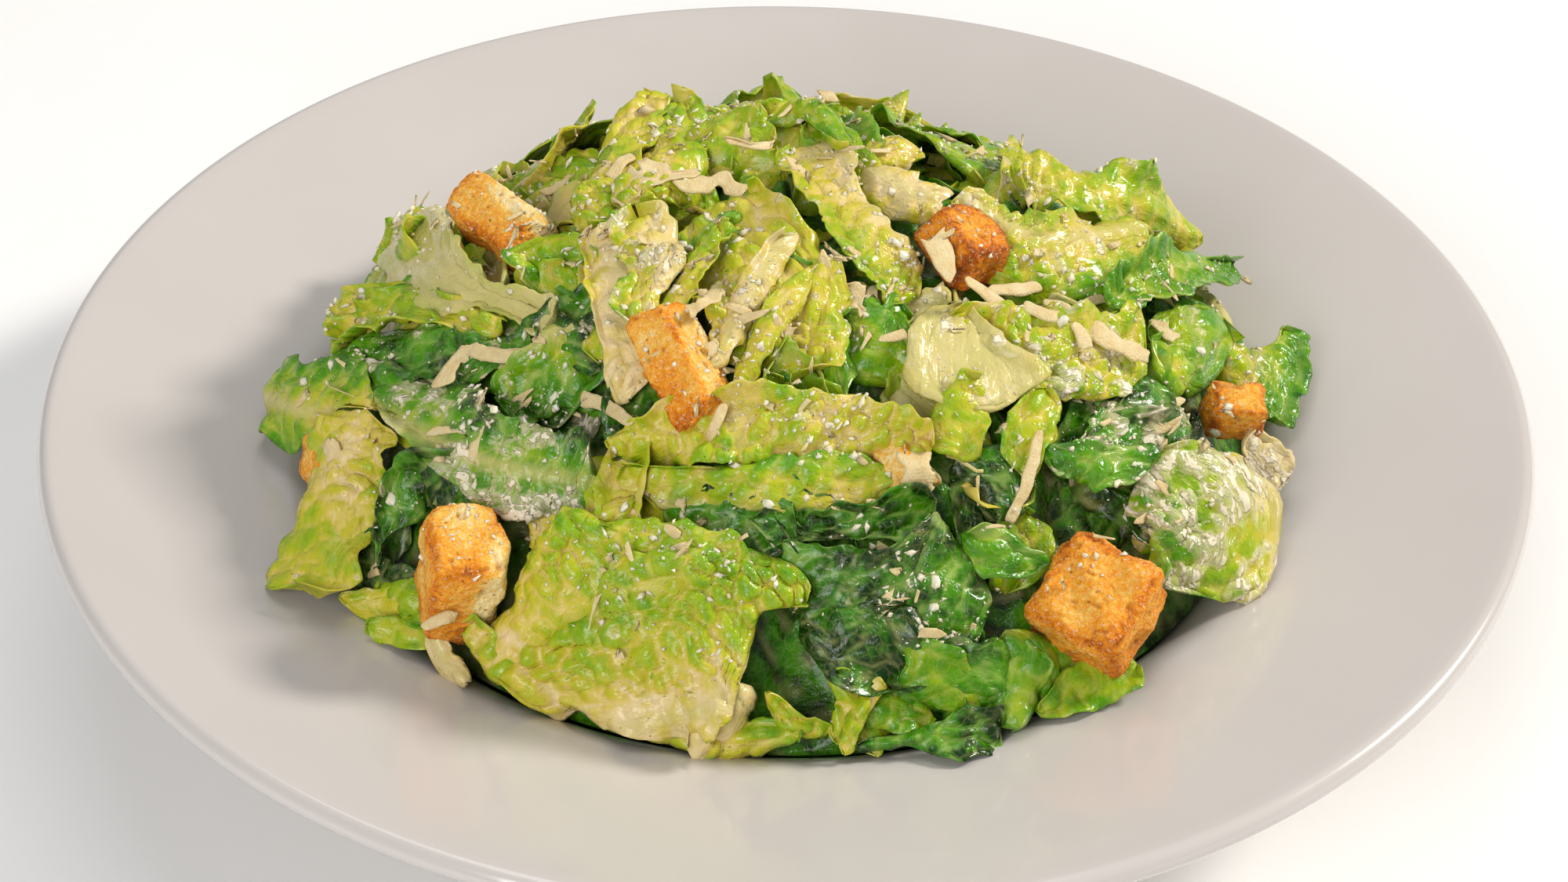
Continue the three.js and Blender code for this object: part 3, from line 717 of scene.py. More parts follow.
@dataclass(frozen=True)
class GlazeFinish:
    """White table porcelain under a clear glaze.

    Attributes:
        white: of the clay.
        shade: where the glaze is thicker.
    """

    white: str = "ccc5c0"
    shade: str = "c6bfb9"

    def make(self, name: str) -> Material:
        """Makes the material.

        Args:
            name: what it is called.

        Returns:
            The material.
        """
        f = Finish(name)
        return f.finish(
            Base_Color=f.mix(f.noise(38.0, 2.0), self.shade, self.white),
            Roughness=f.drift(24.0, 0.16, 0.26, 3.0),
            Normal=f.bump(f.noise(11.0, 2.0), 0.03),
            IOR=1.52,
            Coat_Weight=0.5,
            Coat_Roughness=0.06,
        )


@dataclass(frozen=True)
class TableFinish:
    """The plain pale table.

    Attributes:
        colour: of most of it.
        shade: of its faint clouds.
    """

    colour: str = "f6f5f3"
    shade: str = "f1f0ee"

    def make(self, name: str) -> Material:
        """Makes the material.

        Args:
            name: what it is called.

        Returns:
            The material.
        """
        f = Finish(name)
        return f.finish(
            Base_Color=f.mix(f.noise(60.0), self.colour, self.shade),
            Roughness=0.7,
            Normal=f.bump(f.noise(2.0), 0.02),
        )


# ---------------- plate


@dataclass
class Plate:
    """The wide-rimmed plate, turned about its own axis.

    Attributes:
        radius: outside of the lip.
        lip_top: height of the lip.
        lip_radius: of its rounding.
        rim_inner: where the rim starts.
        rim_inner_top: its height there.
        rim_outer: where the rim ends.
        rim_outer_top: its height there.
        well_radius: inside of the well.
        well_top: height of the well's edge.
        edge_run: the curve from the well onto the rim starts this far inside the well's radius.
        floor_radius: of the flat floor.
        floor_top: height of the floor.
        wall: thickness of the plate.
        foot_inner: inside of the foot ring.
        foot_outer: outside of the foot ring.
        recess: how far the underside inside the foot ring is lifted.
        around: facets round the plate.
    """

    radius: float = 143
    lip_top: float = 48
    lip_radius: float = 2.4
    rim_inner: float = 98
    rim_inner_top: float = 39
    rim_outer: float = 138
    rim_outer_top: float = 47.5
    well_radius: float = 93
    well_top: float = 38
    edge_run: float = 5
    floor_radius: float = 46
    floor_top: float = 8
    wall: float = 5
    foot_inner: float = 52
    foot_outer: float = 60
    recess: float = 3
    around: int = 256

    def well_height(self, r: Array) -> Array:
        """Height of the well's inside at a radius."""
        along = np.maximum(0, r - self.floor_radius) / (self.well_radius - self.floor_radius)
        return self.floor_top + (self.well_top - self.floor_top) * along**2

    def top_height(self, r: Array) -> Array:
        """Height of the plate's top at a radius."""
        profile = self.top()
        return np.interp(r, profile[:, 0], profile[:, 1])

    def top(self) -> Array:
        """The top's outline.

        Returns:
            Rows of radius and height, from the axis to the inside of the lip.
        """
        start = self.well_radius - self.edge_run
        floor = np.linspace(0.4, self.floor_radius, 8, endpoint=False)
        well = np.linspace(self.floor_radius, start, 22)
        inner = np.concatenate([floor, well])
        t = np.linspace(0, 1, 9)[1:, None]
        ends = [
            np.array([start, self.well_height(start)]),
            np.array([self.well_radius, self.well_top]),
            np.array([self.rim_inner, self.rim_inner_top]),
        ]
        edge = (1 - t) ** 2 * ends[0] + 2 * t * (1 - t) * ends[1] + t**2 * ends[2]
        rim = np.linspace(0, 1, 12)[1:, None]
        outer = ends[2] + rim * (np.array([self.rim_outer, self.rim_outer_top]) - ends[2])
        return np.concatenate([np.stack([inner, self.well_height(inner)], 1), edge, outer])

    def lip(self) -> Array:
        """The rolled lip's outline.

        Returns:
            Rows of radius and height, over the top and down the outside.
        """
        first, last, facets = 99, -72, 16
        angle = np.radians(np.linspace(first, last, facets))
        centre = np.array([self.radius - self.lip_radius, self.lip_top - self.lip_radius])
        return centre + self.lip_radius * np.stack([np.cos(angle), np.sin(angle)], 1)

    def underside(self) -> Array:
        """The underside's outline.

        Returns:
            Rows of radius and height, from below the rim to the foot ring and its recess.
        """
        corner = np.array([self.rim_inner, self.rim_inner_top - self.wall])
        start = self.lip()[-1]
        rim = start + np.linspace(0.05, 1, 10)[:, None] * (corner - start)
        r = np.linspace(self.well_radius - 1, self.foot_outer, 18)
        slope = (self.well_height(r + 1) - self.well_height(r - 1)) / 2
        length = np.hypot(1, slope)
        well = np.stack([r + self.wall * slope / length, self.well_height(r) - self.wall / length], 1)
        foot = [
            (self.foot_outer + 0.5, 1.6),
            (self.foot_outer, 0.6),
            (self.foot_outer - 0.6, 0),
            (self.foot_inner + 1.6, 0),
            (self.foot_inner + 0.8, 0.5),
            (self.foot_inner, self.recess - 0.5),
            (self.foot_inner - 0.8, self.recess),
            (0.4, self.recess),
        ]
        return np.concatenate([rim, well, np.array(foot)])

    def build(self) -> Piece:
        """Makes the plate and puts it in place of its solid.

        Returns:
            The piece.
        """
        profile = np.concatenate([self.top(), self.lip(), self.underside()])
        turn = np.linspace(0, 2 * math.pi, self.around, endpoint=False)
        r, z = profile[:, :1], profile[:, 1:]
        ring = np.stack([r * np.cos(turn), r * np.sin(turn), z + 0 * turn], axis=-1)
        batch = Batch()
        batch.add_rings(ring)
        piece = batch.build("plate_glazed", GlazeFinish().make("white_glaze"))
        return place(piece, "plate", "plate")


def place(piece: Piece, slot: str, *nodes: str) -> Piece:
    """Puts a piece on the part and hides the solids that it stands for.

    Args:
        piece: the finished object.
        slot: not used.
        *nodes: the solids it replaces.

    Returns:
        The same piece.
    """
    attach(piece, "root")
    if nodes:
        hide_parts(*nodes)
    log.info("%s: %d faces", piece.name, len(piece.data.polygons))
    return piece


# ---------------- croutons


@dataclass(frozen=True)
class Crouton:
    """One toasted cube of bread, lumpy, with soft corners.

    Attributes:
        name: the solid that it stands for.
        size: across, front to back and high.
        at: where its middle is.
        turn: tilt about X and Y before the turn about Z, in degrees.
        taper: how much wider its foot is.
        order: its place among the croutons, which sets its lumps.
        browned: how far it browned all over, from 0 to 1.
        crumb_and_lit_side: the direction, in its own frame, of the side made paler: partly paler crumb,
            partly painted light from the key light on the right.
        corner: how square its form is.
        bump: height of its lumps.
        bump_pitch: how close they lie.
        facet: size of a facet.
        grains: height and size of its crusty grains, coarse and fine.
        pores: sizes of its pores.
        pore_depth: of the deepest pores.
        shrink: how far the crust lies inside the solid.
        edge_brown: how much browner its edges are.
        patch_brown: how much its patches vary.
        crumb_and_lit_paling: how much paler that side is made: partly paler crumb, partly painted light.
        painted_top_light: painted light: how much paler its top and browner its underside are made, as light
            falls from above.
    """

    name: str
    size: Three
    at: Point
    turn: Three
    taper: float
    order: int
    browned: float = 0.5
    crumb_and_lit_side: Three = (0, 0, 0)
    corner: float = 6.5
    bump: float = 0.5
    bump_pitch: float = 0.55
    facet: float = 0.48
    grains: tuple[Pair, ...] = ((0.2, 1.3), (0.24, 0.7))
    pores: Widths = (2.2, 1.2)
    pore_depth: float = 0.4
    shrink: float = 0.15
    edge_brown: float = 0.28
    patch_brown: float = 0.22
    crumb_and_lit_paling: float = 0.45
    painted_top_light: float = 0.12

    def frame(self) -> Array:
        """The turn as a matrix.

        Returns:
            Three rows of three, which turn the crouton's own frame into the part's.
        """
        x, y, z = (math.radians(angle) for angle in self.turn)
        turns = (Matrix.Rotation(z, 3, "Z"), Matrix.Rotation(y, 3, "Y"), Matrix.Rotation(x, 3, "X"))
        return np.array(turns[0] @ turns[1] @ turns[2])

    def holds(self, points: Array, margin: float) -> Array:
        """Whether each point is inside the crouton or within the margin of it."""
        local = (points - np.array(self.at)) @ self.frame()
        return np.all(np.abs(local) < np.array(self.size) / 2 + margin, axis=-1)

    def surface(self, facets: int) -> tuple[Array, Array, Array]:
        """The faces of a fine cube, pushed out to the crouton's form.

        Args:
            facets: along each edge.

        Returns:
            Directions on a unit cube, points in the crouton's own frame, and the faces.
        """
        step = np.linspace(-1, 1, facets + 1)
        a, b = np.meshgrid(step, step, indexing="ij")
        one = np.ones_like(a)
        sides = [(one, a, b), (-one, b, a), (b, one, a), (a, -one, b), (a, b, one), (b, a, -one)]
        cube = np.stack([np.stack(side, axis=-1).reshape(-1, 3) for side in sides]).reshape(-1, 3)
        each = (facets + 1) ** 2
        faces = np.concatenate([grid_faces(facets + 1, facets + 1, k * each) for k in range(6)])
        keys = np.round((cube + 1) * facets).astype(np.int64)
        _, first, back = np.unique(keys, axis=0, return_index=True, return_inverse=True)
        cube, faces = cube[first], back.reshape(-1)[faces]
        direction = unit(cube)
        spread = (np.abs(direction) ** self.corner).sum(-1, keepdims=True)
        points = direction * spread ** (-1 / self.corner)
        foot = 1 - self.taper * points[:, 2:]
        points = points * np.array(self.size) / 2 * np.concatenate([foot, foot, 1 + 0 * foot], 1)
        x, y, z = (self.bump_pitch * points[:, k] for k in range(3))
        lump = np.sin(x + self.order) * np.sin(y + 2 * self.order)
        lump += np.sin(z + 3 * self.order) * np.cos(x + y)
        return cube, points + unit(points) * self.bump * lump[:, None], faces

    def build(self, material: Material, skins: list[tuple[Array, Array]]) -> Piece:
        """Makes the crouton with its crusty grains and pores.

        Args:
            material: its finish.
            skins: takes its points and faces, for what lands on it.

        Returns:
            The piece.
        """
        cube, points, faces = self.surface(max(24, round(max(self.size) / self.facet)))
        noise = Noise(31 * self.order)
        outward = unit(points)
        grains = noise.layers(points, *self.grains)
        pit = sum(blend(0.5, 0.85, noise.lumps(points, pore)) for pore in self.pores)
        edge = np.sort(np.abs(cube), axis=-1)[:, 1]
        facing = unit(points / np.array(self.size)) @ np.array(self.crumb_and_lit_side, float)
        facing = facing / max(1.0, float(np.linalg.norm(self.crumb_and_lit_side)))
        toast = self.browned + self.edge_brown * blend(0.62, 1.0, edge)
        toast = toast + self.patch_brown * noise.lumps(points, 6.0)
        # Paler towards the key light: partly paler crumb, partly painted light.
        toast = toast - self.crumb_and_lit_paling * blend(0.35, 0.75, facing)
        # Painted light: paler on top and browner underneath, as light falls from above.
        toast = toast - self.painted_top_light * np.clip(outward @ self.frame().T, -1, 1)[:, 2]
        points = points + outward * (grains - self.pore_depth * pit - self.shrink)[:, None]
        batch = Batch()
        placed = points @ self.frame().T + np.array(self.at)
        skins.append((placed, faces))
        batch.add(placed, faces, toast=np.clip(toast, 0, 1), pit=np.clip(pit, 0, 1))
        return place(batch.build(self.name + "_toasted", material), "crouton", self.name)


CROUTONS = (
    Crouton("crouton_back_left", (21, 11, 11), (-54.5, 3, 83.8), (32, 3, -46), 0.05, 1, 0.44, (0.3, 1, 0.2)),
    Crouton("crouton_centre", (11, 23, 10), (-18.7, -46, 87), (35, 31, 50), 0.03, 2, 0.4, (1, 0.2, 0)),
    Crouton("crouton_back_right", (13, 14, 10), (32.2, -10.4, 89.4), (18, 21, 41), 0.05, 3, 0.68),
    Crouton(
        "crouton_front_left", (14, 16, 24.5), (-57.5, -67, 55.5), (16, 6, 14), -0.05, 4, 0.4, (1, -0.5, 0)
    ),
    Crouton("crouton_front_right", (19.5, 20, 15.5), (55.4, -69.5, 53.7), (31, 8, -31), 0.02, 5, 0.46),
    Crouton("crouton_right", (11.5, 8.5, 9), (84, -17.5, 58), (15, 9, 7), 0.05, 6, 0.54),
    Crouton("crouton_middle", (7, 10, 16), (22, -56, 72), (27, -36, 16), 0, 7, 0.3, (0.5, -1, 0)),
    Crouton("crouton_left", (9, 10, 9), (-85.5, -27, 49), (0, 10, 20), 0.05, 8, 0.45),
)


@dataclass
class Bread:
    """All the croutons.

    Attributes:
        croutons: each of them.
        skins: each crouton's points and faces, once it is built.
    """

    croutons: tuple[Crouton, ...] = CROUTONS
    skins: list[tuple[Array, Array]] = field(default_factory=list)

    def build(self) -> list[Piece]:
        """Makes each crouton in place of its solid and gives the pieces."""
        material = BreadFinish().make("toasted_bread")
        return [crouton.build(material, self.skins) for crouton in self.croutons]

    def holds(self, points: Array, margin: float) -> Array:
        """Whether each point is in a crouton or within the margin of one."""
        return np.any([crouton.holds(points, margin) for crouton in self.croutons], axis=0)


# ---------------- leaves

# The way to the viewer in front, and the point that leaves face away from.
FRONT = np.array([0.0, -0.79, 0.61])
HEART_OF_HEAP = np.array([0.0, 3.0, 5.0])

# Height and size of the tears along a leaf's sides and at its ends.
SIDE_TEARS = ((1.5, 7.0), (1.1, 2.8), (0.6, 1.4))
END_TEARS = ((1.5, 5.0), (0.9, 1.9))

# How wide a strip's tips are as a share of its width, and the least half width it is laid with.
TIP_SHARE = 0.06
LEAST_HALF = 0.4

# The least half width that tears may leave, and how far from an end its tears reach.
LEAST_TORN = 0.15
END_REACH = 3

# How far a strip's ends may slant, as a share of its length.
STEEPEST_CUT = 0.35


class Kind(Enum):
    """Which part of the lettuce a torn piece comes from."""

    HEART = "pale yellow leaf from the heart"
    MIDDLE = "green leaf"
    OUTER = "dark outer leaf"
    RIB = "thick white rib"


HEART, MIDDLE, OUTER, RIB = Kind


@dataclass(frozen=True)
class Habit:
    """How one kind of leaf grows.

    Attributes:
        thickness: of the blade.
        blister: how far the blade bulges between its veins.
        cell: how far apart the veins lie.
        ragged: how torn the outline is, from 0 to 1.
        sway: how far the whole blade rises and falls.
        ridge: height of the fine ridges that run along it.
        shading: how much darker it grows on its bulges.
    """

    thickness: float
    blister: float
    cell: float
    ragged: float
    sway: float
    ridge: float
    shading: float


HABITS = {
    HEART: Habit(0.55, 1.7, 3.1, 0.9, 1.5, 0.04, 0.27),
    MIDDLE: Habit(0.55, 1.3, 3.4, 0.85, 1.5, 0.05, 0.26),
    OUTER: Habit(0.5, 1.1, 3.9, 0.9, 1.6, 0.04, 0.16),
    RIB: Habit(1.3, 0.12, 12.0, 0.8, 0.6, 0.12, 0.1),
}


@dataclass(frozen=True)
class Ribbon:
    """A strip that follows a line over the heap, as grids with rows along it.

    Attributes:
        points: its middle surface.
        normals: outward.
        along: distance from its start.
        across: signed distance from its line, right positive.
        v: the same as a share of the strip's half width.
        edge: distance to the nearest border.
    """

    points: Array
    normals: Array
    along: Array
    across: Array
    v: Array
    edge: Array

    @staticmethod
    def line(path: Array, u: Array) -> tuple[Array, Array]:
        """A smooth curve through a path.

        Args:
            path: points, one a row.
            u: where along it, from 0 to 1.

        Returns:
            The curve's points, and the way it runs there.
        """
        ends = np.vstack([2 * path[0] - path[1], path, 2 * path[-1] - path[-2]])
        share = np.clip(u, 0, 1) * (len(path) - 1)
        k = np.minimum(share.astype(int), len(path) - 2)
        t = (share - k)[:, None]
        a, b, c, d = ends[k], ends[k + 1], ends[k + 2], ends[k + 3]
        bend = 2 * a - 5 * b + 4 * c - d
        twist = 3 * b - a - 3 * c + d
        points = b + 0.5 * ((c - a) * t + bend * t**2 + twist * t**3)
        return points, unit(0.5 * (c - a) + bend * t + 1.5 * twist * t**2)

    @classmethod
    def laid(
        cls,
        path: tuple[Point, ...],
        left: Widths,
        right: Widths,
        cup: float,
        toward: Array,
        pitch: float,
        torn: float,
        seed: int,
        blunt: float = 5,
        slant: Pair = (0, 0),
    ) -> Ribbon:
        """Lays a strip along a path.

        Args:
            path: the points its line runs through.
            left: half widths on the left, spread evenly from its start to its end.
            right: the same on the right.
            cup: how far its sides bend down, in degrees.
            toward: added to the outward direction that it faces.
            pitch: size of its facets.
            torn: how ragged its outline is.
            seed: of its own noise.
            blunt: how squarely its ends are cut off.
            slant: how far its start and its end run forward for each step to the right.

        Returns:
            The strip.
        """
        path = np.array(path, float)
        noise = Noise(seed)
        length = np.linalg.norm(np.diff(path, axis=0), axis=1).sum()
        rows = max(6, math.ceil(length / pitch))
        columns = max(5, math.ceil((max(left) + max(right)) / pitch))
        even = np.linspace(0, 1, rows + 1)
        u = (even + 0.5 - 0.5 * np.cos(np.pi * even)) / 2
        middle, forward = cls.line(path, u)
        outward = unit(middle - HEART_OF_HEAP) + toward
        normal = unit(outward - (outward * forward).sum(-1, keepdims=True) * forward)
        rightward = np.cross(forward, normal)
        cap = np.sqrt(np.clip(1 - np.abs(2 * u - 1) ** blunt, 0, 1)) * (1 - TIP_SHARE) + TIP_SHARE
        sides = []
        for k, half in enumerate((left, right)):
            where = np.stack([u * length, 0 * u + 40 * k, 0 * u], axis=-1)
            width = np.maximum(through(half, u), LEAST_HALF) * cap
            tear = noise.layers(where, *SIDE_TEARS)
            torn_width = width + torn * tear * np.minimum(1, width / 4)
            sides.append(np.maximum(torn_width, LEAST_TORN))
        v = np.linspace(-1, 1, columns + 1)
        across = np.where(v < 0, v * sides[0][:, None], v * sides[1][:, None])
        bend = (math.radians(cup or 1) / np.maximum(sides[0] + sides[1], LEAST_HALF) * 2)[:, None]
        over, down = np.sin(bend * across) / bend, (np.cos(bend * across) - 1) / bend
        points = middle[:, None] + rightward[:, None] * over[..., None]
        points = points + normal[:, None] * down[..., None]
        from_end = np.minimum(u, 1 - u)[:, None] * length + 0 * across
        where = np.stack([across, 0 * across, 0 * across + np.sign(u - 0.5)[:, None]], axis=-1)
        jag = torn * noise.layers(where, *END_TEARS)
        points = points + forward[:, None] * (jag * np.exp(-from_end / END_REACH))[..., None]
        steepest = STEEPEST_CUT * length / max(*left, *right)
        start, end = np.clip(slant, -steepest, steepest)
        cut = np.where(u < 0.5, start, end) * np.abs(1 - 2 * u)
        points = points + forward[:, None] * (cut[:, None] * across)[..., None]
        from_side = np.where(v < 0, across + sides[0][:, None], sides[1][:, None] - across)
        edge = np.minimum(np.abs(from_side), from_end + 0.3)
        spread = np.repeat(normal[:, None], columns + 1, axis=1)
        along = (u * length)[:, None] + 0 * across
        return cls(points, spread, along, across, v + 0 * across, edge)

    def moved(self, lift: Array) -> Ribbon:
        """The same strip with each point moved along its normal."""
        points = self.points + self.normals * lift[..., None]
        return Ribbon(points, self.normals, self.along, self.across, self.v, self.edge)


def add_sheet(batch: Batch, ribbon: Ribbon, thickness: Array, proud: Array, **values: Array) -> Array:
    """Adds a closed thin sheet to a batch, both faces split alike.

    Args:
        batch: where it goes.
        ribbon: the sheet's middle surface.
        thickness: at each point.
        proud: how far the outward face stands off further.
        **values: named values for each point, the same on both faces.

    Returns:
        The outward face's points.
    """
    rows, columns = ribbon.points.shape[:2]
    normals = grid_normals(ribbon.points)
    facing = np.sign((normals * ribbon.normals).sum(-1).mean()) or 1.0
    normals = normals * facing
    top = ribbon.points + normals * (thickness / 2 + proud)[..., None]
    bottom = ribbon.points - normals * (thickness / 2)[..., None]
    count = rows * columns
    outer = grid_faces(rows, columns)
    inner = grid_faces(rows, columns, count)
    at = np.arange(count).reshape(rows, columns)
    ring = np.concatenate([at[:-1, 0], at[-1, :-1], at[:0:-1, -1], at[0, :0:-1]])
    wall = np.stack([ring, np.roll(ring, -1), np.roll(ring, -1) + count, ring + count], axis=1)
    if facing > 0:
        inner = inner[:, ::-1]
        wall = wall[:, ::-1]
    else:
        outer = outer[:, ::-1]
    faces = np.concatenate([outer, inner, wall])
    both = {key: np.concatenate([value.reshape(count, -1)] * 2) for key, value in values.items()}
    flat = {key: value[:, 0] if value.shape[1] == 1 else value for key, value in both.items()}
    batch.add(np.concatenate([top.reshape(-1, 3), bottom.reshape(-1, 3)]), faces, **flat)
    return top


# A leaf with fewer half widths is a chopped piece, no narrower than this share of its greatest.
CHOPPED, LEAST_SHARE = 5, 0.72

# The share of its cup that a leaf keeps, and how squarely its ends are cut off.
KEPT_CUP, BLUNT = 0.8, 12

# Heights and sizes of a blade's slow sway, and of the bends in its veins.
SWAY = ((1.0, 22.0), (0.6, 10.0))
WARP = ((1.8, 6.0), (0.8, 2.5))

# Height, for a frill of 1, and size of the waves along an edge; the ruffles' height is a share of it.
WAVE_HEIGHT, WAVE = 2.7, 8.5
RUFFLE_SHARE, RUFFLE = 0.45, 3.2

# Size of the stretches where an edge lifts, and of a blade's bolder and darker patches.
LIFTED, BOLD_PATCH, TONE_PATCH = 15.0, 13.0, 9.0

# The midrib: half its width, how far it stands up, how much thicker it is than the blade, how much
# paler the blade is beside it, and how far from it.
RIB_WIDTH, RIB_HEIGHT, RIB_THICKNESS, RIB_PALE, RIB_PALE_REACH = 1.5, 0.7, 0.5, 0.32, 8

# The side veins: their angle to the midrib in degrees, how far apart they lie, half the width of
# one, how far they stand up, and how far from the midrib they end and start to fade.
BRANCH_ANGLE, BRANCH_APART, BRANCH_WIDTH, BRANCH_HEIGHT = 52, 8.5, 0.45, 0.25
BRANCH_REACH = (16, 4)

# How much longer than wide the cells between veins are; the same for the fine folds, with their
# size and height; and how far apart the ridges lie.
STRETCH, FOLD_STRETCH, FOLD, FOLD_HEIGHT, RIDGE_APART = 1.9, 1.6, 2.3, 0.6, 2.6

# How thick the dressing lies, and the sizes of its coarse and fine patches.
CREAM_HEIGHT = 0.45
CREAM_PATCHES = (5.5, 2.2)


@dataclass(frozen=True)
class Net:
    """A leaf's veins and what lies between them, point by point.

    Attributes:
        rib: how much each point is midrib, from 0 to 1.
        branch: the same for the side veins.
        vein: the same for all veins but the midrib.
        dome: how far up a bulge between veins it is.
        bold: how strongly the blade bulges there.
        crinkle: fine folds along the side veins.
        pale_by: how much paler the midrib makes the blade beside it.
    """

    rib: Array
    branch: Array
    vein: Array
    dome: Array
    bold: Array
    crinkle: Array
    pale_by: Array


@dataclass(frozen=True)
class Leaf:
    """One torn leaf.

    Attributes:
        name: what it is called.
        kind: where in the lettuce it comes from.
        tone: its colour, from 0 for the palest heart to 1 for the darkest outer leaf.
        coat: how much dressing clings to it, from 0 to 1.
        cup: how far its sides bend down, in degrees.
        frill: height of the waves along its edges.
        left: half widths on the left, spread evenly from its start to its end; with fewer than
            five, the leaf is a chopped piece with slanted ends.
        right: the same on the right.
        path: the points its line runs through.
        rib: how far right of its line its midrib lies, or none.
        ends: how much darker its start and its end are.
        lean: how far it turns to the front.
        margin: how far its edges lift.
    """

    name: str
    kind: Kind
    tone: float
    coat: float
    cup: float
    frill: float
    left: Widths
    right: Widths
    path: tuple[Point, Point, Point]
    rib: float | None = None
    ends: Pair = (0.0, 0.0)
    lean: float = 0.9
    margin: float = 1.8

    def seed(self) -> int:
        """A number of its own, from its name."""
        return sum((k + 1) * ord(letter) for k, letter in enumerate(self.name)) % 9973

    def ribbon(self, pitch: float) -> Ribbon:
        """The leaf's middle surface with its waves, before its veins.

        Args:
            pitch: size of its facets.

        Returns:
            The waved strip.
        """
        habit = HABITS[self.kind]
        toward = self.lean * FRONT
        seed = self.seed()
        left, right, slant = self.left, self.right, (0.0, 0.0)
        if len(left) < CHOPPED:
            slant = ((seed % 61 - 30) / 40, (seed % 43 - 21) / 28)
            least = [LEAST_SHARE * max(side) for side in (left, right)]
            left, right = (tuple(max(w, low) for w in side) for side, low in zip((left, right), least))
        shape = (self.path, left, right, KEPT_CUP * self.cup, toward)
        strip = Ribbon.laid(*shape, pitch, habit.ragged, seed, blunt=BLUNT, slant=slant)
        noise = Noise(seed + 5)
        out = np.abs(strip.v)
        border = np.stack([strip.along, 50 * np.sign(strip.v), 0 * out], axis=-1)
        wave = out**2 * noise.lumps(border, WAVE)
        wave = wave + RUFFLE_SHARE * out**5 * noise.lumps(border + 90, RUFFLE)
        margin = blend(0.45, 1.0, out) * (0.5 + 1.1 * noise.lumps(border + 200, LIFTED))
        sway = noise.layers(strip.points, *SWAY)
        lift = WAVE_HEIGHT * self.frill * wave + self.margin * margin + habit.sway * sway
        return strip.moved(lift)

    def add(self, batch: Batch, pitch: float) -> Array:
        """Adds the leaf to a batch, with its veins, bulges, colours and dressing.

        Args:
            batch: where it goes.
            pitch: size of its facets.

        Returns:
            Its outward face's points.
        """
        habit = HABITS[self.kind]
        noise = Noise(self.seed() + 11)
        strip = self.ribbon(pitch)
        net = self.net(strip, noise)
        fade = blend(0.0, 2.5, strip.edge)
        phase = 3 * noise.lumps(strip.points, 12.0)
        ridges = np.sin(2 * np.pi * strip.across / RIDGE_APART + phase)
        relief = habit.blister * net.bold * net.dome * (1 - 0.8 * net.rib) * (0.35 + 0.65 * fade)
        relief = relief + FOLD_HEIGHT * net.crinkle * (1 - net.rib) * fade
        stands = RIB_HEIGHT * net.rib + BRANCH_HEIGHT * net.branch
        stands = stands * (self.kind is not RIB)
        relief = relief + habit.ridge * ridges + stands
        cream = self.dressing(strip, net, noise)
        strip = strip.moved(relief)
        thin_edge = 0.45 + 0.55 * blend(0.0, 1.6, strip.edge)
        return add_sheet(
            batch,
            strip,
            habit.thickness * thin_edge + RIB_THICKNESS * net.rib * fade,
            CREAM_HEIGHT * cream * fade,
            tone=self.colouring(strip, net, noise),
            pale=np.clip(net.rib, 0, 1),
            vein=net.vein,
            cream=cream,
            place=np.stack([strip.along, strip.across, 0 * cream + self.seed()], axis=-1),
        )

    def net(self, strip: Ribbon, noise: Noise) -> Net:
        """Works out the leaf's veins.

        Args:
            strip: the leaf's middle surface.
            noise: the leaf's own.

        Returns:
            The veins and what lies between them.
        """
        has_rib = self.rib is not None
        from_rib = strip.across - (self.rib or 0)
        angle = math.radians(BRANCH_ANGLE if has_rib else self.seed() % 180)
        outward = np.abs(from_rib) if has_rib else from_rib
        far = strip.along * math.cos(angle) + outward * math.sin(angle)
        beside = outward * math.cos(angle) - strip.along * math.sin(angle)
        flat = np.stack([far / STRETCH, beside], axis=-1)
        warp = noise.layers(strip.points, *WARP)
        near, wall = noise.walls(flat + warp[..., None], HABITS[self.kind].cell)
        dome = 0.75 * blend(0.0, 0.45, wall) + 0.4 * (0.75 - near)
        bold = 0.4 + 0.75 * blend(-0.4, 0.5, noise.lumps(strip.points, BOLD_PATCH))
        rib = pale_by = branch = np.zeros_like(wall)
        if has_rib:
            narrowing = 1 - 0.5 * strip.along / strip.along.max()
            rib = np.exp(-((from_rib / RIB_WIDTH) ** 2)) * narrowing
            pale_by = RIB_PALE * np.exp(-((from_rib / RIB_PALE_REACH) ** 2))
            line = (beside + 1.2 * warp) / BRANCH_APART
            from_line = BRANCH_APART * (line - np.round(line)) / BRANCH_WIDTH
            branch = np.exp(-(from_line**2)) * blend(*BRANCH_REACH, outward)
        if self.kind is RIB:
            rib = 0.98 - 0.35 * blend(0.6, 1.0, np.abs(strip.v)) * (noise.lumps(strip.points, 9.0) > 0)
        vein = np.maximum((1 - blend(0.0, 0.17, wall)) * (0.4 + 0.6 * bold), branch) * (1 - rib)
        folds = np.stack([far / FOLD_STRETCH, beside, 0 * far], axis=-1)
        crinkle = 0.5 - np.abs(noise.lumps(folds, FOLD))
        return Net(rib, branch, vein, dome, bold, crinkle, pale_by)

    def dressing(self, strip: Ribbon, net: Net, noise: Noise) -> Array:
        """Works out where the dressing clings.

        Args:
            strip: the leaf's middle surface.
            net: its veins.
            noise: the leaf's own.

        Returns:
            How much of it lies at each point, from 0 to 1.
        """
        coarse, fine = (noise.lumps(strip.points, size) for size in CREAM_PATCHES)
        clings = self.coat - 0.55 + 0.5 * coarse + 0.3 * fine - 0.4 * net.vein - 0.2 * net.dome
        return blend(-0.05, 0.3, clings)

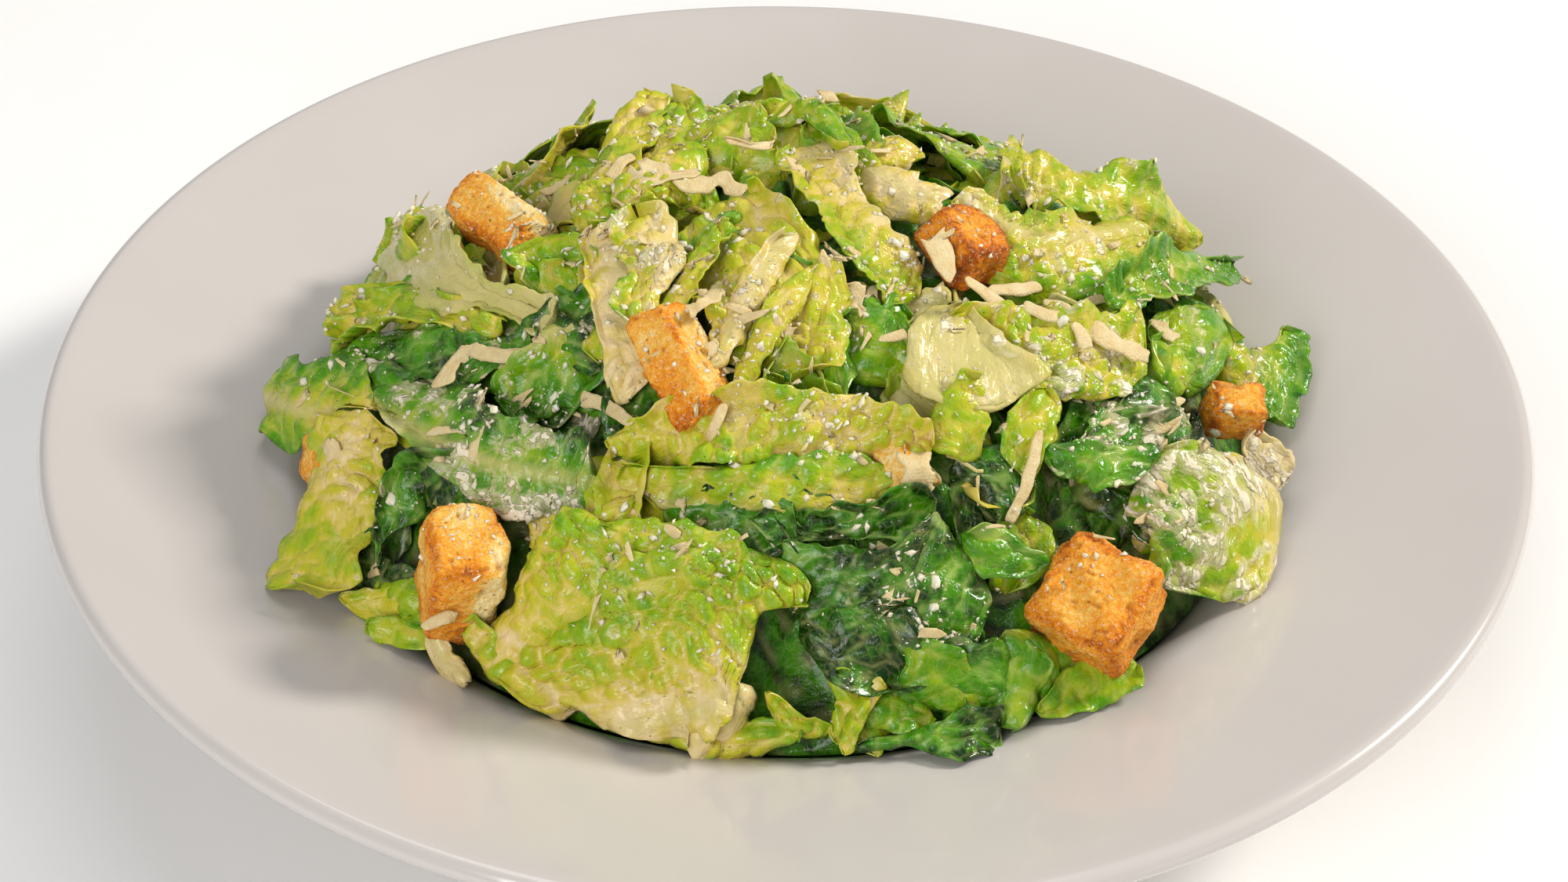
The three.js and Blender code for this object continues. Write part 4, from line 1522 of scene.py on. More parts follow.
    def colouring(self, strip: Ribbon, net: Net, noise: Noise) -> Array:
        """Works out the leaf's colour.

        Args:
            strip: the leaf's middle surface.
            net: its veins.
            noise: the leaf's own.

        Returns:
            The tone at each point, from 0 for the palest to 1 for the darkest.
        """
        share = strip.along / strip.along.max()
        tone = self.tone + self.ends[0] * (1 - share) ** 2 + self.ends[1] * share**2 - net.pale_by
        tone = tone + 0.08 * (np.abs(strip.v) - 0.5)
        tone = tone + 0.16 * noise.lumps(strip.points, TONE_PATCH)
        tone = tone + HABITS[self.kind].shading * (0.35 + 0.65 * net.bold) * (net.dome - 0.5)
        return np.clip(tone, 0, 1)


# The leaves that show from the front: the solids' own first, in their places, then a few more.
SHOWN_LEAVES = (
    Leaf("curl_left", MIDDLE, 0.68, 0.1, 30, 1,
         (6.5, 7, 8.5, 12.5, 9.5, 0.5), (8, 8.5, 10.5, 3, 0.5, 0.5),
         ((-100, 1, 45), (-89, -15, 54), (-75, -27, 62)), rib=2, ends=(0.05, -0.1)),
    Leaf("yellow_left", HEART, 0.2, 0.26, 30, 1.4,
         (13.5, 9.5, 9.5, 10.5, 9.5, 16.5), (12.5, 10.5, 10.5, 9, 8, 10),
         ((-77, -28, 61), (-83, -38, 53), (-87, -59, 43)), ends=(0, 0.1)),
    Leaf("dark_fold", OUTER, 0.86, 0.3, 40, 0.8, (3, 6, 6.5, 5, 1.5, 1.5), (3, 3, 2.5, 1.5, 1.5, 0.5),
         ((-65, -41, 64), (-71, -48, 57), (-74, -53, 47))),
    Leaf("dark_scrap", OUTER, 1, 0.05, 60, 0.8, (3, 5, 3), (3, 4, 3),
         ((-77, -47, 47), (-73, -55, 45), (-66, -61, 47))),
    Leaf("coated_left", OUTER, 0.96, 0.84, 25, 1.2,
         (6.5, 9.5, 11.5, 9, 8, 10.5), (0.5, 0.5, 5, 10, 9.5, 11.5),
         ((-85, -15, 58), (-55, -50, 70), (-34, -58, 71)), rib=1, ends=(-0.1, 0.05)),
    Leaf("dark_top_left", OUTER, 0.84, 0.5, 20, 1, (8, 6.5, 5, 4, 4, 0.5), (2.5, 4, 6.5, 7.5, 1, 0.5),
         ((-83, -9, 58), (-60, -25, 74), (-43, -33, 78))),
    Leaf("veined", OUTER, 0.78, 0.4, 17.5, 0.8, (2, 10, 9, 8, 8, 7.5), (5.5, 5.5, 7.5, 6, 4.5, 4.5),
         ((-34, -32, 80), (-42, -36, 79), (-52, -36, 73)), rib=6, ends=(0, -0.08)),
    Leaf("pale_slab", RIB, 0.3, 0.12, 12.5, 0.6,
         (4.5, 4.5, 6, 4.5, 3.5, 7.5), (13, 12.5, 10.5, 6.5, 1.5, 3),
         ((-72, 34, 65), (-63, -6, 78), (-44, -26, 80))),
    Leaf("pale_edge", HEART, 0.36, 0.15, 40, 2, (2, 5, 3), (3, 5, 3),
         ((-85, -2, 58), (-73, -6, 70), (-53, -22, 79))),
    Leaf("bright_cup", HEART, 0.46, 0, -30, 0.5,
         (10, 7.5, 7.5, 7.5, 5.5, 0.5), (9.5, 6.5, 5.5, 4.5, 3.5, 1.5),
         ((-45, -8, 87), (-43, -14, 82), (-40, -23, 81))),
    Leaf("tall_pale", HEART, 0.16, 0.36, 15, 0.6, (15, 12, 9, 8, 6), (2, 1.5, 2, 2, 3),
         ((-37, -9, 91), (-34, -29, 89), (-28, -48, 81)), rib=-5, ends=(0.1, 0)),
    Leaf("top_left_low", MIDDLE, 0.36, 0.2, 30, 1.6, (4, 5, 3), (6, 9, 6),
         ((-56, 23, 75), (-47, 28, 79), (-36, 26, 82))),
    Leaf("top_left_tip", HEART, 0.32, 0.2, 50, 1.6, (6, 8, 6), (5, 6, 5),
         ((-29, 39, 89), (-34, 13, 91), (-37, -6, 87))),
    Leaf("top_left_two", HEART, 0.34, 0.2, 50, 1.6, (6, 7, 6), (6, 7, 6),
         ((-23, 35, 89), (-23, 10, 94), (-28, -3, 92))),
    Leaf("top_crinkled", MIDDLE, 0.36, 0.25, 40, 1.8, (4, 6, 4), (6, 9, 6),
         ((-24, 22, 88), (-14, 19, 94), (-2, 16, 92))),
    Leaf("top_curl", MIDDLE, 0.45, 0.25, 90, 1.2, (3, 4, 3), (3, 5, 4),
         ((-4, 26, 93), (4, 24, 97), (11, 10, 94))),
    Leaf("top_long", MIDDLE, 0.38, 0.34, 20, 1.4, (15, 9.5, 7.5, 8.5, 9, 7), (6, 4.5, 4, 4, 4, 3),
         ((0, 14, 94), (11, -12, 94), (21, -26, 87)), rib=-8, ends=(-0.02, 0.08)),
    Leaf("centre_frilly", HEART, 0.22, 0.46, 15, 2.4,
         (3, 5.5, 8, 9, 8.5, 12.5), (21, 17.5, 18, 18, 15, 12),
         ((-8, -2, 94), (1, -28, 94), (0, -46, 85))),
    Leaf("centre_rib_one", HEART, 0.3, 0.26, 70, 0.8, (2.5, 3, 3, 2.5), (2.5, 3, 3, 2.5),
         ((-11, -13, 95), (-17, -25, 93), (-23, -38, 88))),
    Leaf("centre_rib_three", HEART, 0.28, 0.26, 80, 0.8, (2.2, 3, 3, 2), (2.5, 3, 2.6, 2),
         ((3, -29, 96), (-4, -42, 92), (-9, -51, 85))),
    Leaf("centre_right_dark", OUTER, 0.55, 0.3, 30, 1, (5, 8, 5), (5, 8, 5),
         ((9, -33, 84), (17, -35, 85), (23, -27, 85))),
    Leaf("low_frilled", HEART, 0.27, 0.42, 20, 2.2, (2, 3, 3.5, 4, 5, 4), (3, 8, 10, 11, 9, 4),
         ((-32, -55, 77), (-4, -54, 84), (26, -57, 78))),
    Leaf("right_pale_slab", RIB, 0.15, 0.5, 15, 0.5, (3.3, 7.6, 11, 15, 6), (4, 7.5, 9.7, 11, 5),
         ((31, -28, 87), (31, -38, 85), (33, -49, 80))),
    Leaf("cut_rib", HEART, 0.3, 0.3, 40, 1, (4, 5, 5, 4), (4, 5, 5, 4),
         ((34, -45, 84), (31, -52, 80), (29, -58, 76))),
    Leaf("bright_rib", MIDDLE, 0.42, 0.2, 60, 0.8, (4, 6, 6, 5), (4, 5, 6, 5),
         ((46, -41, 79), (43, -48, 77), (40, -55, 72))),
    Leaf("broad_pale", HEART, 0.34, 0.68, 12.5, 1,
         (3.5, 5.5, 7.5, 8.5, 9.5, 14), (2, 3.5, 9, 9.5, 7.5, 5.5),
         ((29, -30, 87), (49, -31, 82), (66, -22, 72))),
    Leaf("upper_right", HEART, 0.5, 0.46, 25, 1.4, (6, 6, 7, 7, 4), (5, 8, 11, 11, 5),
         ((30, -2, 92), (47, -7, 87), (69, 14, 75)), rib=-2, ends=(-0.05, 0.1), lean=1.2),
    Leaf("bright_fold", MIDDLE, 0.64, 0.06, -35, 0.8,
         (5, 5, 6, 4, 0.5, 0.5), (3, 4.5, 6.5, 6, 7.5, 0.5),
         ((59, -15, 80), (72, 3, 76), (88, 31, 58)), lean=1.5),
    Leaf("back_right", MIDDLE, 0.3, 0.35, 20, 1.8, (5, 7, 5, 8, 6, 3), (5, 6, 6, 6, 5, 4),
         ((42, 18, 86), (58, 20, 81), (82, 34, 62)), lean=1.2),
    Leaf("smooth_rib", HEART, 0.36, 0.1, 35, 0.2, (5, 5.5, 5.5, 5), (6, 7, 7, 6),
         ((14, 13, 91), (21, 5, 91), (29, 4, 89)), rib=0, margin=0.3),
    Leaf("right_tube", OUTER, 0.6, 0.4, 55, 0.8,
         (4.5, 5.5, 6, 6.5, 7.5, 10.5), (3, 6, 10, 12, 9.5, 3.5),
         ((67, -11, 73), (74, -11, 70), (84, -1, 61))),
    Leaf("brown_edge_rib", RIB, 0.1, 0.1, 80, 0.3, (2, 3.5, 2.5), (2, 3.5, 2.5),
         ((80, 15, 62), (83, 5, 62), (83, -3, 60))),
    Leaf("far_right", MIDDLE, 0.68, 0.06, 25, 0.6, (7.5, 5, 5.5, 6, 6, 9), (0.5, 2, 7.5, 10, 10.5, 0.5),
         ((97, 20, 50), (97, 11, 47), (93, -3, 46)), rib=7, lean=1.5),
    Leaf("white_under", HEART, 0.02, 0.9, 30, 0.8, (2, 4, 5, 3), (2, 4, 5, 3),
         ((86, -20, 55), (91, -20, 49), (95, -22, 44)), rib=0),
    Leaf("coated_dark", OUTER, 0.82, 0.86, 25, 1.2,
         (2, 2.5, 4, 4.5, 6.5, 5.5), (3.5, 4.5, 7, 8.5, 8, 9.5),
         ((51, -47, 70), (60, -39, 71), (72, -28, 65))),
    Leaf("coated_dark_two", OUTER, 0.86, 0.75, 50, 1.2, (4, 7, 4), (4, 7, 4),
         ((54, -48, 67), (63, -40, 68), (74, -32, 62))),
    Leaf("coated_right", OUTER, 0.5, 0.92, 30, 1.2,
         (5, 9.5, 12, 19, 13.5, 8), (14.5, 13, 16.5, 15, 15, 14),
         ((68, -41, 66), (79, -45, 55), (77, -55, 43)), rib=-15),
    Leaf("small_dark", OUTER, 0.96, 0.1, 40, 0.8, (3, 6, 3), (4, 7, 3),
         ((33, -53, 75), (38, -56, 72), (41, -61, 66))),
    Leaf("front_fold", MIDDLE, 0.55, 0.32, 30, 0.8, (0.5, 0.5, 2, 4, 5.5, 2), (4.5, 8, 7, 7, 6, 5),
         ((-30, -58, 74), (-5, -64, 77), (19, -62, 75)), rib=7),
    Leaf("front_fold_inner", MIDDLE, 0.88, 0.02, -50, 0.8,
         (2, 2, 3.5, 4.5, 5.5, 4), (1, 2, 2.5, 3.5, 5, 7),
         ((1, -69, 71), (13, -69, 71), (25, -65, 70))),
    Leaf("broad_dark", OUTER, 0.86, 0.2, 15, 1.4, (3, 5, 8.5, 15, 12, 6.5), (9, 12, 15, 17, 11, 11.5),
         ((1, -72, 68), (19, -78, 63), (37, -76, 56))),
    Leaf("broad_dark_low", OUTER, 1, 0.06, 35, 1.2, (8, 12, 4), (6, 9, 4),
         ((8, -78, 61), (13, -84, 57), (19, -87, 48))),
    Leaf("dark_behind", OUTER, 0.86, 0.2, 35, 1.2, (5, 8, 6), (5, 8, 6),
         ((-23, -65, 69), (-11, -69, 69), (1, -71, 68))),
    Leaf("front_crinkled", HEART, 0.38, 0.38, 17.5, 1.8,
         (0.5, 1, 18.5, 21.5, 14, 8.5), (5.5, 11.5, 13, 15, 5.5, 4),
         ((5, -80, 62), (-18, -84, 59), (-48, -80, 44)), rib=-15, ends=(0.1, -0.14)),
    Leaf("front_crinkled_end", HEART, 0.18, 0.4, 40, 0.8, (3, 4, 5, 4), (2, 3.5, 4, 4),
         ((-7, -88, 51), (-10, -92, 46), (-16, -95, 41)), rib=0),
    Leaf("front_back_fold", HEART, 0.26, 0.12, 25, 1.4,
         (17.5, 15, 11.5, 9, 7.5, 6), (7.5, 7, 7.5, 8, 5, 6),
         ((-32, -68, 71), (-40, -75, 60), (-50, -78, 46)), ends=(0.1, -0.2)),
    Leaf("front_top_edge", MIDDLE, 0.36, 0.15, 50, 1.2, (3, 5, 3), (5, 9, 7),
         ((-32, -70, 69), (-19, -76, 69), (-6, -77, 68))),
    Leaf("low_curl", HEART, 0.3, 0.12, 50, 1.4, (2, 4, 4, 3), (2, 4, 4, 2),
         ((-14, -95, 41), (-6, -94, 42), (2, -94, 42)), ends=(-0.1, 0.1)),
    Leaf("low_rib", MIDDLE, 0.5, 0.15, 60, 1, (3, 4, 3), (3, 4, 3),
         ((14, -90, 44), (20, -89, 45), (26, -88, 43))),
    Leaf("bottom_band", MIDDLE, 0.88, 0.1, -30, 1,
         (1.5, 0.5, 1, 2.5, 4, 4.5), (2.5, 2, 2.5, 3.5, 4, 5),
         ((13, -94, 41), (26, -93, 43), (38, -88, 41)), lean=1.5),
    Leaf("bottom_ruffle", MIDDLE, 0.78, 0.2, 50, 1.8, (6, 9, 5), (6, 9, 5),
         ((21, -85, 52), (34, -85, 48), (40, -83, 42))),
    Leaf("under_cube", MIDDLE, 0.6, 0.25, 60, 1.2, (5, 6, 3), (5, 7, 4),
         ((40, -77, 52), (45, -80, 47), (42, -84, 41))),
    Leaf("low_left_scrap", OUTER, 0.5, 0.3, 50, 1, (3, 5, 3), (3, 5, 3),
         ((-76, -55, 42), (-69, -61, 45), (-63, -66, 44))),
    Leaf("tall_green", MIDDLE, 0.4, 0.72, 30, 1.2, (7, 6, 4, 3), (6, 7, 5, 2),
         ((-28, -10, 94), (-25, -23, 94), (-28, -38, 89)), rib=-6),
    Leaf("low_right_one", MIDDLE, 0.62, 0.2, 40, 1.2, (4, 5, 5, 3), (4, 5, 5, 3),
         ((20, -85, 53), (28, -86, 50), (37, -86, 44))),
    Leaf("low_right_two", MIDDLE, 0.66, 0.4, 50, 1.6, (3, 4.5, 5, 3), (3, 4.5, 5, 3),
         ((45, -78, 50), (42, -83, 45), (41, -89, 41))),
    Leaf("low_right_three", MIDDLE, 0.46, 0.3, 40, 1.2, (2, 4, 4, 2), (3, 4, 4, 2),
         ((46, -84, 42), (55, -78, 43), (64, -74, 44))),
    Leaf("low_stem", MIDDLE, 0.34, 0.2, 50, 0.6, (2, 3, 3, 2), (2, 3, 3, 2),
         ((9, -87, 53), (12, -90, 47), (9, -94, 41))),
    Leaf("low_stem_two", HEART, 0.3, 0.1, 70, 0.5, (1.5, 2, 2, 1.5), (1.5, 2, 2, 1.5),
         ((18, -87, 51), (13, -92, 46), (11, -95, 41))),
    Leaf("cavity_roof", OUTER, 0.75, 0.5, 25, 0.8, (2, 3, 4, 5), (2, 4, 5, 6),
         ((46, -53, 73), (54, -51, 72), (66, -47, 67))),
)

# Small pieces that lie between the others.
SMALL_LEAVES = (
    Leaf("centre_rib_two", HEART, 0.38, 0.2, 70, 0.8, (2.5, 3, 3, 2), (2, 2.6, 3, 2),
         ((-1, -21, 98), (-7, -34, 94), (-13, -46, 88)), rib=0),
    Leaf("right_ruffle", MIDDLE, 0.3, 0.3, 60, 1.2, (3, 5, 3), (3, 5, 3),
         ((81, -3, 61), (86, -4, 58), (90, -3, 51))),
    # A dark green leaf in the hollow, its tone pushed to the darkest as painted shade.
    Leaf("cavity_leaf", OUTER, 1, 0.02, 20, 0.6, (6, 8, 5), (6, 8, 5),
         ((47, -51, 57), (56, -46, 57), (63, -48, 51))),
    Leaf("back_bit", HEART, 0.25, 0.2, 60, 1, (2, 3.5, 2), (3, 4, 3),
         ((13, 16, 91), (19, 18, 92), (25, 18, 89))),
    Leaf("right_green", MIDDLE, 0.5, 0.2, 40, 0.8, (4, 5, 3), (4, 5, 3),
         ((69, -15, 70), (72, -19, 68), (73, -22, 64))),
    Leaf("low_left_edge", HEART, 0.3, 0.3, 40, 1.2, (3, 4, 4, 3), (3, 4, 4, 3),
         ((-80, -59, 43), (-72, -61, 43), (-64, -65, 45))),
    Leaf("under_cube_two", MIDDLE, 0.55, 0.3, 50, 1, (3, 5, 2), (4, 5, 2),
         ((46, -77, 47), (52, -75, 44), (59, -71, 41))),
    Leaf("low_curl_two", HEART, 0.3, 0.1, 90, 1, (3, 4, 3), (3, 4, 3),
         ((-2, -89, 48), (2, -91, 44), (9, -91, 42))),
    Leaf("centre_dark", OUTER, 0.55, 0.2, 30, 1, (5, 7, 4), (5, 7, 4),
         ((-18, -15, 88), (-10, -14, 91), (-3, -9, 90))),
    Leaf("low_left_bit", HEART, 0.06, 0.5, 30, 1, (2.5, 3, 3, 2), (2.5, 3, 3, 2),
         ((-62, -70, 46), (-60, -74, 42), (-56, -79, 41)), rib=0),
    Leaf("low_left_two", MIDDLE, 0.36, 0.3, 40, 1, (2, 3, 3, 2), (2, 3, 3, 2),
         ((-75, -65, 42), (-69, -67, 42), (-62, -70, 43))),
    Leaf("low_left_three", HEART, 0.24, 0.2, 40, 1, (3, 4, 4, 3), (3, 4, 4, 3),
         ((-55, -72, 49), (-51, -77, 46), (-47, -81, 43))),
    Leaf("left_green", HEART, 0.3, 0.15, 30, 2, (3, 5, 5, 4), (3, 5, 5, 3),
         ((-86, 2, 59), (-77, -2, 67), (-66, -9, 74))),
    Leaf("dark_by_cube", OUTER, 0.8, 0.2, 40, 1.2, (3, 4, 3), (3, 4, 3),
         ((31, -67, 67), (37, -68, 64), (44, -68, 60))),
    Leaf("gap_leaf", MIDDLE, 0.58, 0.15, 20, 1, (4, 6, 6, 4), (4, 6, 6, 4),
         ((9, -32, 87), (16, -35, 86), (24, -36, 84))),
)


# ---------------- heap


@dataclass(frozen=True)
class Hollow:
    """A dark gap between leaves.

    Attributes:
        x: where it is from left to right.
        y: where it is from front to back.
        reach: how wide it is.
        depth: how deep it is.
    """

    x: float
    y: float
    reach: float
    depth: float

    def share(self, x: Array, y: Array) -> Array:
        """How far inside the gap each point is, from 0 to 1."""
        return np.exp(-((x - self.x) ** 2 + (y - self.y) ** 2) / self.reach**2)


HOLLOWS = (
    Hollow(55, -54, 9, 17),
    Hollow(2, -84, 9, 10),
    Hollow(25, -86, 9, 10),
    Hollow(-75, -49, 6, 5),
    Hollow(-43, -47, 6, 4),
    Hollow(15, -57, 7, 6),
    Hollow(-59, -19, 6, 4),
    Hollow(36, -66, 6, 6),
)


@dataclass(frozen=True)
class BackRow:
    """A row of leaves round the back of the heap, with angles in degrees.

    Attributes:
        count: how many leaves.
        radius: how far from the middle they lie.
        start: angle of the first.
        end: angle of the last.
        length: of each leaf.
        half_width: of each leaf.
    """

    count: int
    radius: float
    start: float
    end: float
    length: float
    half_width: float


# How dark each kind of leaf is at the back.
BACK_TONES = {HEART: 0.26, MIDDLE: 0.42, OUTER: 0.5, RIB: 0.2}


@dataclass(frozen=True)
class ScrapHabit:
    """How the small pieces between the leaves are laid.

    Each range is its least value and how far it runs above that.

    Attributes:
        reach: how far from the middle they go.
        spread: power of the draw; 0.5 would spread them evenly, less crowds them outward.
        half_length: of a piece.
        lift: how far its middle lies above the bed.
        end_lift: how far its ends lie above its middle.
        half_width: of a piece.
        cup: how far its sides bend down, in degrees.
        sinks: how far out they start to lie lower, over what distance, and by how much.
        rim: how far from the middle an end may lie.
        gap: how far into a hollow a piece may lie, from 0 to 1.
        clear: how far it keeps from a crouton.
        like: it takes after one of this many nearest leaves.
    """

    reach: float = 91
    spread: float = 0.42
    half_length: Pair = (5, 7)
    lift: Pair = (-6.0, 2.8)
    end_lift: Pair = (-1.5, 3.0)
    half_width: Pair = (2.5, 4.5)
    cup: Pair = (-50, 110)
    sinks: Three = (76, 15, 3)
    rim: float = 97
    gap: float = 0.35
    clear: float = 3.0
    like: int = 3


@dataclass
class Bed:
    """The form of the heap that the leaves lie on.

    Attributes:
        centre: its middle.
        radius: of its edge.
        base: height of its edge.
        rise: from its edge to its crown.
        roundness: how steeply it rises at its edge.
        swell: reach of the hump that carries each leaf.
        sink: how far the core lies below the leaves that show.
        peaks: the points that the humps rise to.
    """

    centre: Pair = (-1, 0)
    radius: float = 93
    base: float = 38.5
    rise: float = 46
    roundness: float = 0.72
    swell: float = 11
    sink: float = 6.5
    peaks: Array = field(default_factory=lambda: np.zeros((0, 3)))

    def bare(self, x: Array, y: Array) -> Array:
        """Height without the humps."""
        out = ((x - self.centre[0]) ** 2 + (y - self.centre[1]) ** 2) / self.radius**2
        return self.base + self.rise * np.maximum(0, 1 - out) ** self.roundness

    def height(self, x: Array, y: Array) -> Array:
        """Height with a hump under each leaf, and sunk where there is a hollow.

        Args:
            x: where from left to right.
            y: where from front to back.

        Returns:
            The height at each place.
        """
        bare = self.bare(x, y)
        px, py, pz = self.peaks.T
        away = (x[..., None] - px) ** 2 + (y[..., None] - py) ** 2
        humps = (pz - self.bare(px, py)) * np.exp(-away / self.swell**2)
        dug = sum(hollow.depth * hollow.share(x, y) for hollow in HOLLOWS)
        return bare + np.maximum(0, humps.max(-1)) - dug


@dataclass
class Heap:
    """The lettuce: every leaf that shows, small scraps between them, and the core below.

    Attributes:
        bread: the croutons, which the scraps keep clear of.
        plate: what the heap lies in.
        bed: the form that the leaves lie on.
        back_rows: leaves behind the crown.
        back_kinds: their kinds in turn.
        back_seed: of their draw.
        scrap_seed: of the small pieces' draw.
        scrap_habit: how they are laid.
        shy: how far the core keeps from the heap's edge.
        scraps: how many small pieces fill in between the leaves.
        pitch: size of a facet on the leaves in front.
        back_pitch: and on the others.
        tops: each leaf's outward points, once it is built.
        coats: how much dressing clings at each of them.
    """

    bread: Bread
    plate: Plate
    bed: Bed = field(default_factory=Bed)
    back_rows: tuple[BackRow, ...] = (BackRow(8, 83, 8, 172, 36, 13), BackRow(6, 58, 22, 158, 38, 14))
    back_kinds: tuple[Kind, ...] = (MIDDLE, HEART, MIDDLE, HEART, OUTER)
    back_seed: int = 4021
    scrap_seed: int = 977
    scrap_habit: ScrapHabit = ScrapHabit()
    shy: float = 4
    scraps: int = 250
    pitch: float = 0.72
    back_pitch: float = 1.15
    tops: list[Array] = field(default_factory=list)
    coats: list[Array] = field(default_factory=list)

    def back_leaves(self) -> list[Leaf]:
        """Lays the leaves behind the crown, by the same draw as the solids.

        Returns:
            The leaves.
        """
        draw = seeded_stream(self.back_seed)

        def between(low: float, high: float) -> float:
            """A draw between two numbers."""
            return low + (high - low) * draw()

        leaves = []
        for row in self.back_rows:
            for i in range(row.count):
                share = (i + 0.5 + 0.4 * between(-0.5, 0.5)) / row.count
                azimuth = math.radians(row.start + (row.end - row.start) * share)
                radius = row.radius + 6 * between(-0.5, 0.5)
                heading = azimuth + math.radians(90 + between(-50, 50))
                half = row.length * between(0.8, 1.2) / 2
                width = row.half_width * between(0.8, 1.2)
                path = []
                for end in (-1, 0, 1):
                    x = radius * math.cos(azimuth) + end * half * math.cos(heading)
                    y = radius * math.sin(azimuth) + end * half * math.sin(heading)
                    path.append((x, y, float(self.bed.bare(x, y)) + (0 if end else 2.5)))
                kind = self.back_kinds[len(leaves) % len(self.back_kinds)]
                sides = (width * 0.6, width, width * 0.7)
                name = f"back_{len(leaves)}"
                cup = between(-50, 30)
                coat = 0.3 + 0.03 * (len(leaves) % 8)
                shape = (cup, 1.3, sides, sides[::-1], tuple(path))
                leaves.append(Leaf(name, kind, BACK_TONES[kind], coat, *shape, lean=0, margin=0.8))
        return leaves

    def scrap_leaves(self, shown: list[Leaf]) -> list[Leaf]:
        """Lays small pieces all over the heap, coloured as the leaves around them.

        Args:
            shown: the leaves whose kind and colour they take.

        Returns:
            The small pieces.
        """
        habit = self.scrap_habit
        draw = seeded_stream(self.scrap_seed)

        def ranged(span: Pair) -> float:
            """A draw from a range."""
            return span[0] + span[1] * draw()

        middles = np.array([leaf.path[1] for leaf in shown])
        scraps = []
        while len(scraps) < self.scraps:
            reach = habit.reach * draw() ** habit.spread
            azimuth = 2 * math.pi * draw()
            x, y = reach * math.cos(azimuth), reach * math.sin(azimuth)
            heading, half = 2 * math.pi * draw(), ranged(habit.half_length)
            lift, end_lift = ranged(habit.lift), ranged(habit.end_lift)
            width, cup, pick = ranged(habit.half_width), ranged(habit.cup), draw()
            start, run, step = habit.sinks
            lift = lift - step * max(0.0, (reach - start) / run)
            path = []
            for end in (-1, 0, 1):
                px, py = x + end * half * math.cos(heading), y + end * half * math.sin(heading)
                top = float(self.bed.height(np.array([px]), np.array([py]))[0])
                path.append((px, py, top + lift + (end_lift if end else 0)))
            gap = max(float(h.share(np.array([x]), np.array([y]))[0]) for h in HOLLOWS)
            off = max(math.hypot(px, py) for px, py, _ in path) > habit.rim
            if gap > habit.gap or off or self.bread.holds(np.array(path), habit.clear).any():
                continue
            nearest = np.argsort(np.linalg.norm(middles - np.array(path[1]), axis=1))
            like = shown[int(nearest[int(pick * habit.like)])]
            sides = (width * 0.7, width, width * 0.8)
            tone = min(1.0, max(0.0, like.tone + 0.25 * (draw() - 0.4)))
            shape = (cup, 0.8 + draw(), sides, sides[::-1], tuple(path))
            name = f"scrap_{len(scraps)}"
            scraps.append(Leaf(name, like.kind, tone, like.coat * 0.9, *shape, lean=draw()))
        return scraps

    def core(self) -> Batch:
        """Makes the core: leaves too deep in the heap to tell apart, coloured near black green as painted
        shade.

        Returns:
            The core, closed, its underside just over the plate.
        """
        around, rings, rings_below = 220, 80, 14
        above_plate, steep = 1.0, 12
        turn = np.linspace(0, 2 * np.pi, around, endpoint=False)
        share = np.linspace(0.004, 1, rings)[:, None]
        reach = self.bed.radius - self.shy
        x = self.bed.centre[0] * (1 - share) + reach * share * np.cos(turn)
        y = self.bed.centre[1] * (1 - share) + reach * share * np.sin(turn)
        noise = Noise(3)
        spot = np.stack([x, y, 0 * x], axis=-1)
        flat = np.stack([x, y], axis=-1)
        _, wall = noise.walls(flat + 2 * noise.lumps(spot, 7.0)[..., None], 8.0)
        relief = 1.8 * blend(0.0, 0.5, wall) + 1.4 * noise.lumps(spot, 6.0)
        low = self.plate.top_height(np.hypot(x, y)) + above_plate
        high = self.bed.height(x, y) - self.bed.sink + relief - low
        top = np.stack([x, y, low + high * np.sqrt(1 - share**steep)], axis=-1)
        below = np.linspace(0.97, 0.01, rings_below)[:, None]
        bx, by = reach * below * np.cos(turn), reach * below * np.sin(turn)
        bottom = np.stack([bx, by, self.plate.top_height(np.hypot(bx, by)) + above_plate], axis=-1)
        points = np.concatenate([top, bottom])
        batch = Batch()
        # Painted shade: the core takes the darkest leaf tones, paler in the middles of its cells.
        tone = np.concatenate([0.97 - 0.2 * blend(0.1, 0.6, wall), 0.9 + 0 * bx]).ravel()
        none = 0 * tone
        vein = np.concatenate([1 - blend(0.0, 0.15, wall), 0 * bx]).ravel()
        values = {"tone": tone, "pale": none, "vein": vein, "cream": none, "place": points.reshape(-1, 3)}
        batch.add_rings(points, **values)
        return batch

    def build(self) -> list[Piece]:
        """Makes the leaves, one piece for each kind, and the core.

        Returns:
            The pieces.
        """
        material = LeafFinish().make("moist_leaf")
        back = self.back_leaves()
        carried = [*SHOWN_LEAVES, *back]
        self.bed.peaks = np.array([point for leaf in carried for point in leaf.path])
        scraps = self.scrap_leaves(carried)
        batches = {kind: Batch() for kind in Kind}
        for leaves, pitch in (
            ([*SHOWN_LEAVES, *SMALL_LEAVES], self.pitch),
            ([*back, *scraps], self.back_pitch),
        ):
            for leaf in leaves:
                top = leaf.add(batches[leaf.kind], pitch)
                self.tops.append(top)
                self.coats.append(np.full(top.shape[:2], leaf.coat))
        pieces = [place(self.core().build("lettuce_core", material), "lettuce_heap", "lettuce_heap")]
        for kind, batch in batches.items():
            piece = batch.build(f"lettuce_{kind.name.lower()}", material)
            log.info("%s: %d triangles", piece.name, batch.triangles())
            pieces.append(place(piece, "lettuce_heap", "lettuce_heap"))
        return pieces


# ---------------- cheese, crumbs and dressing


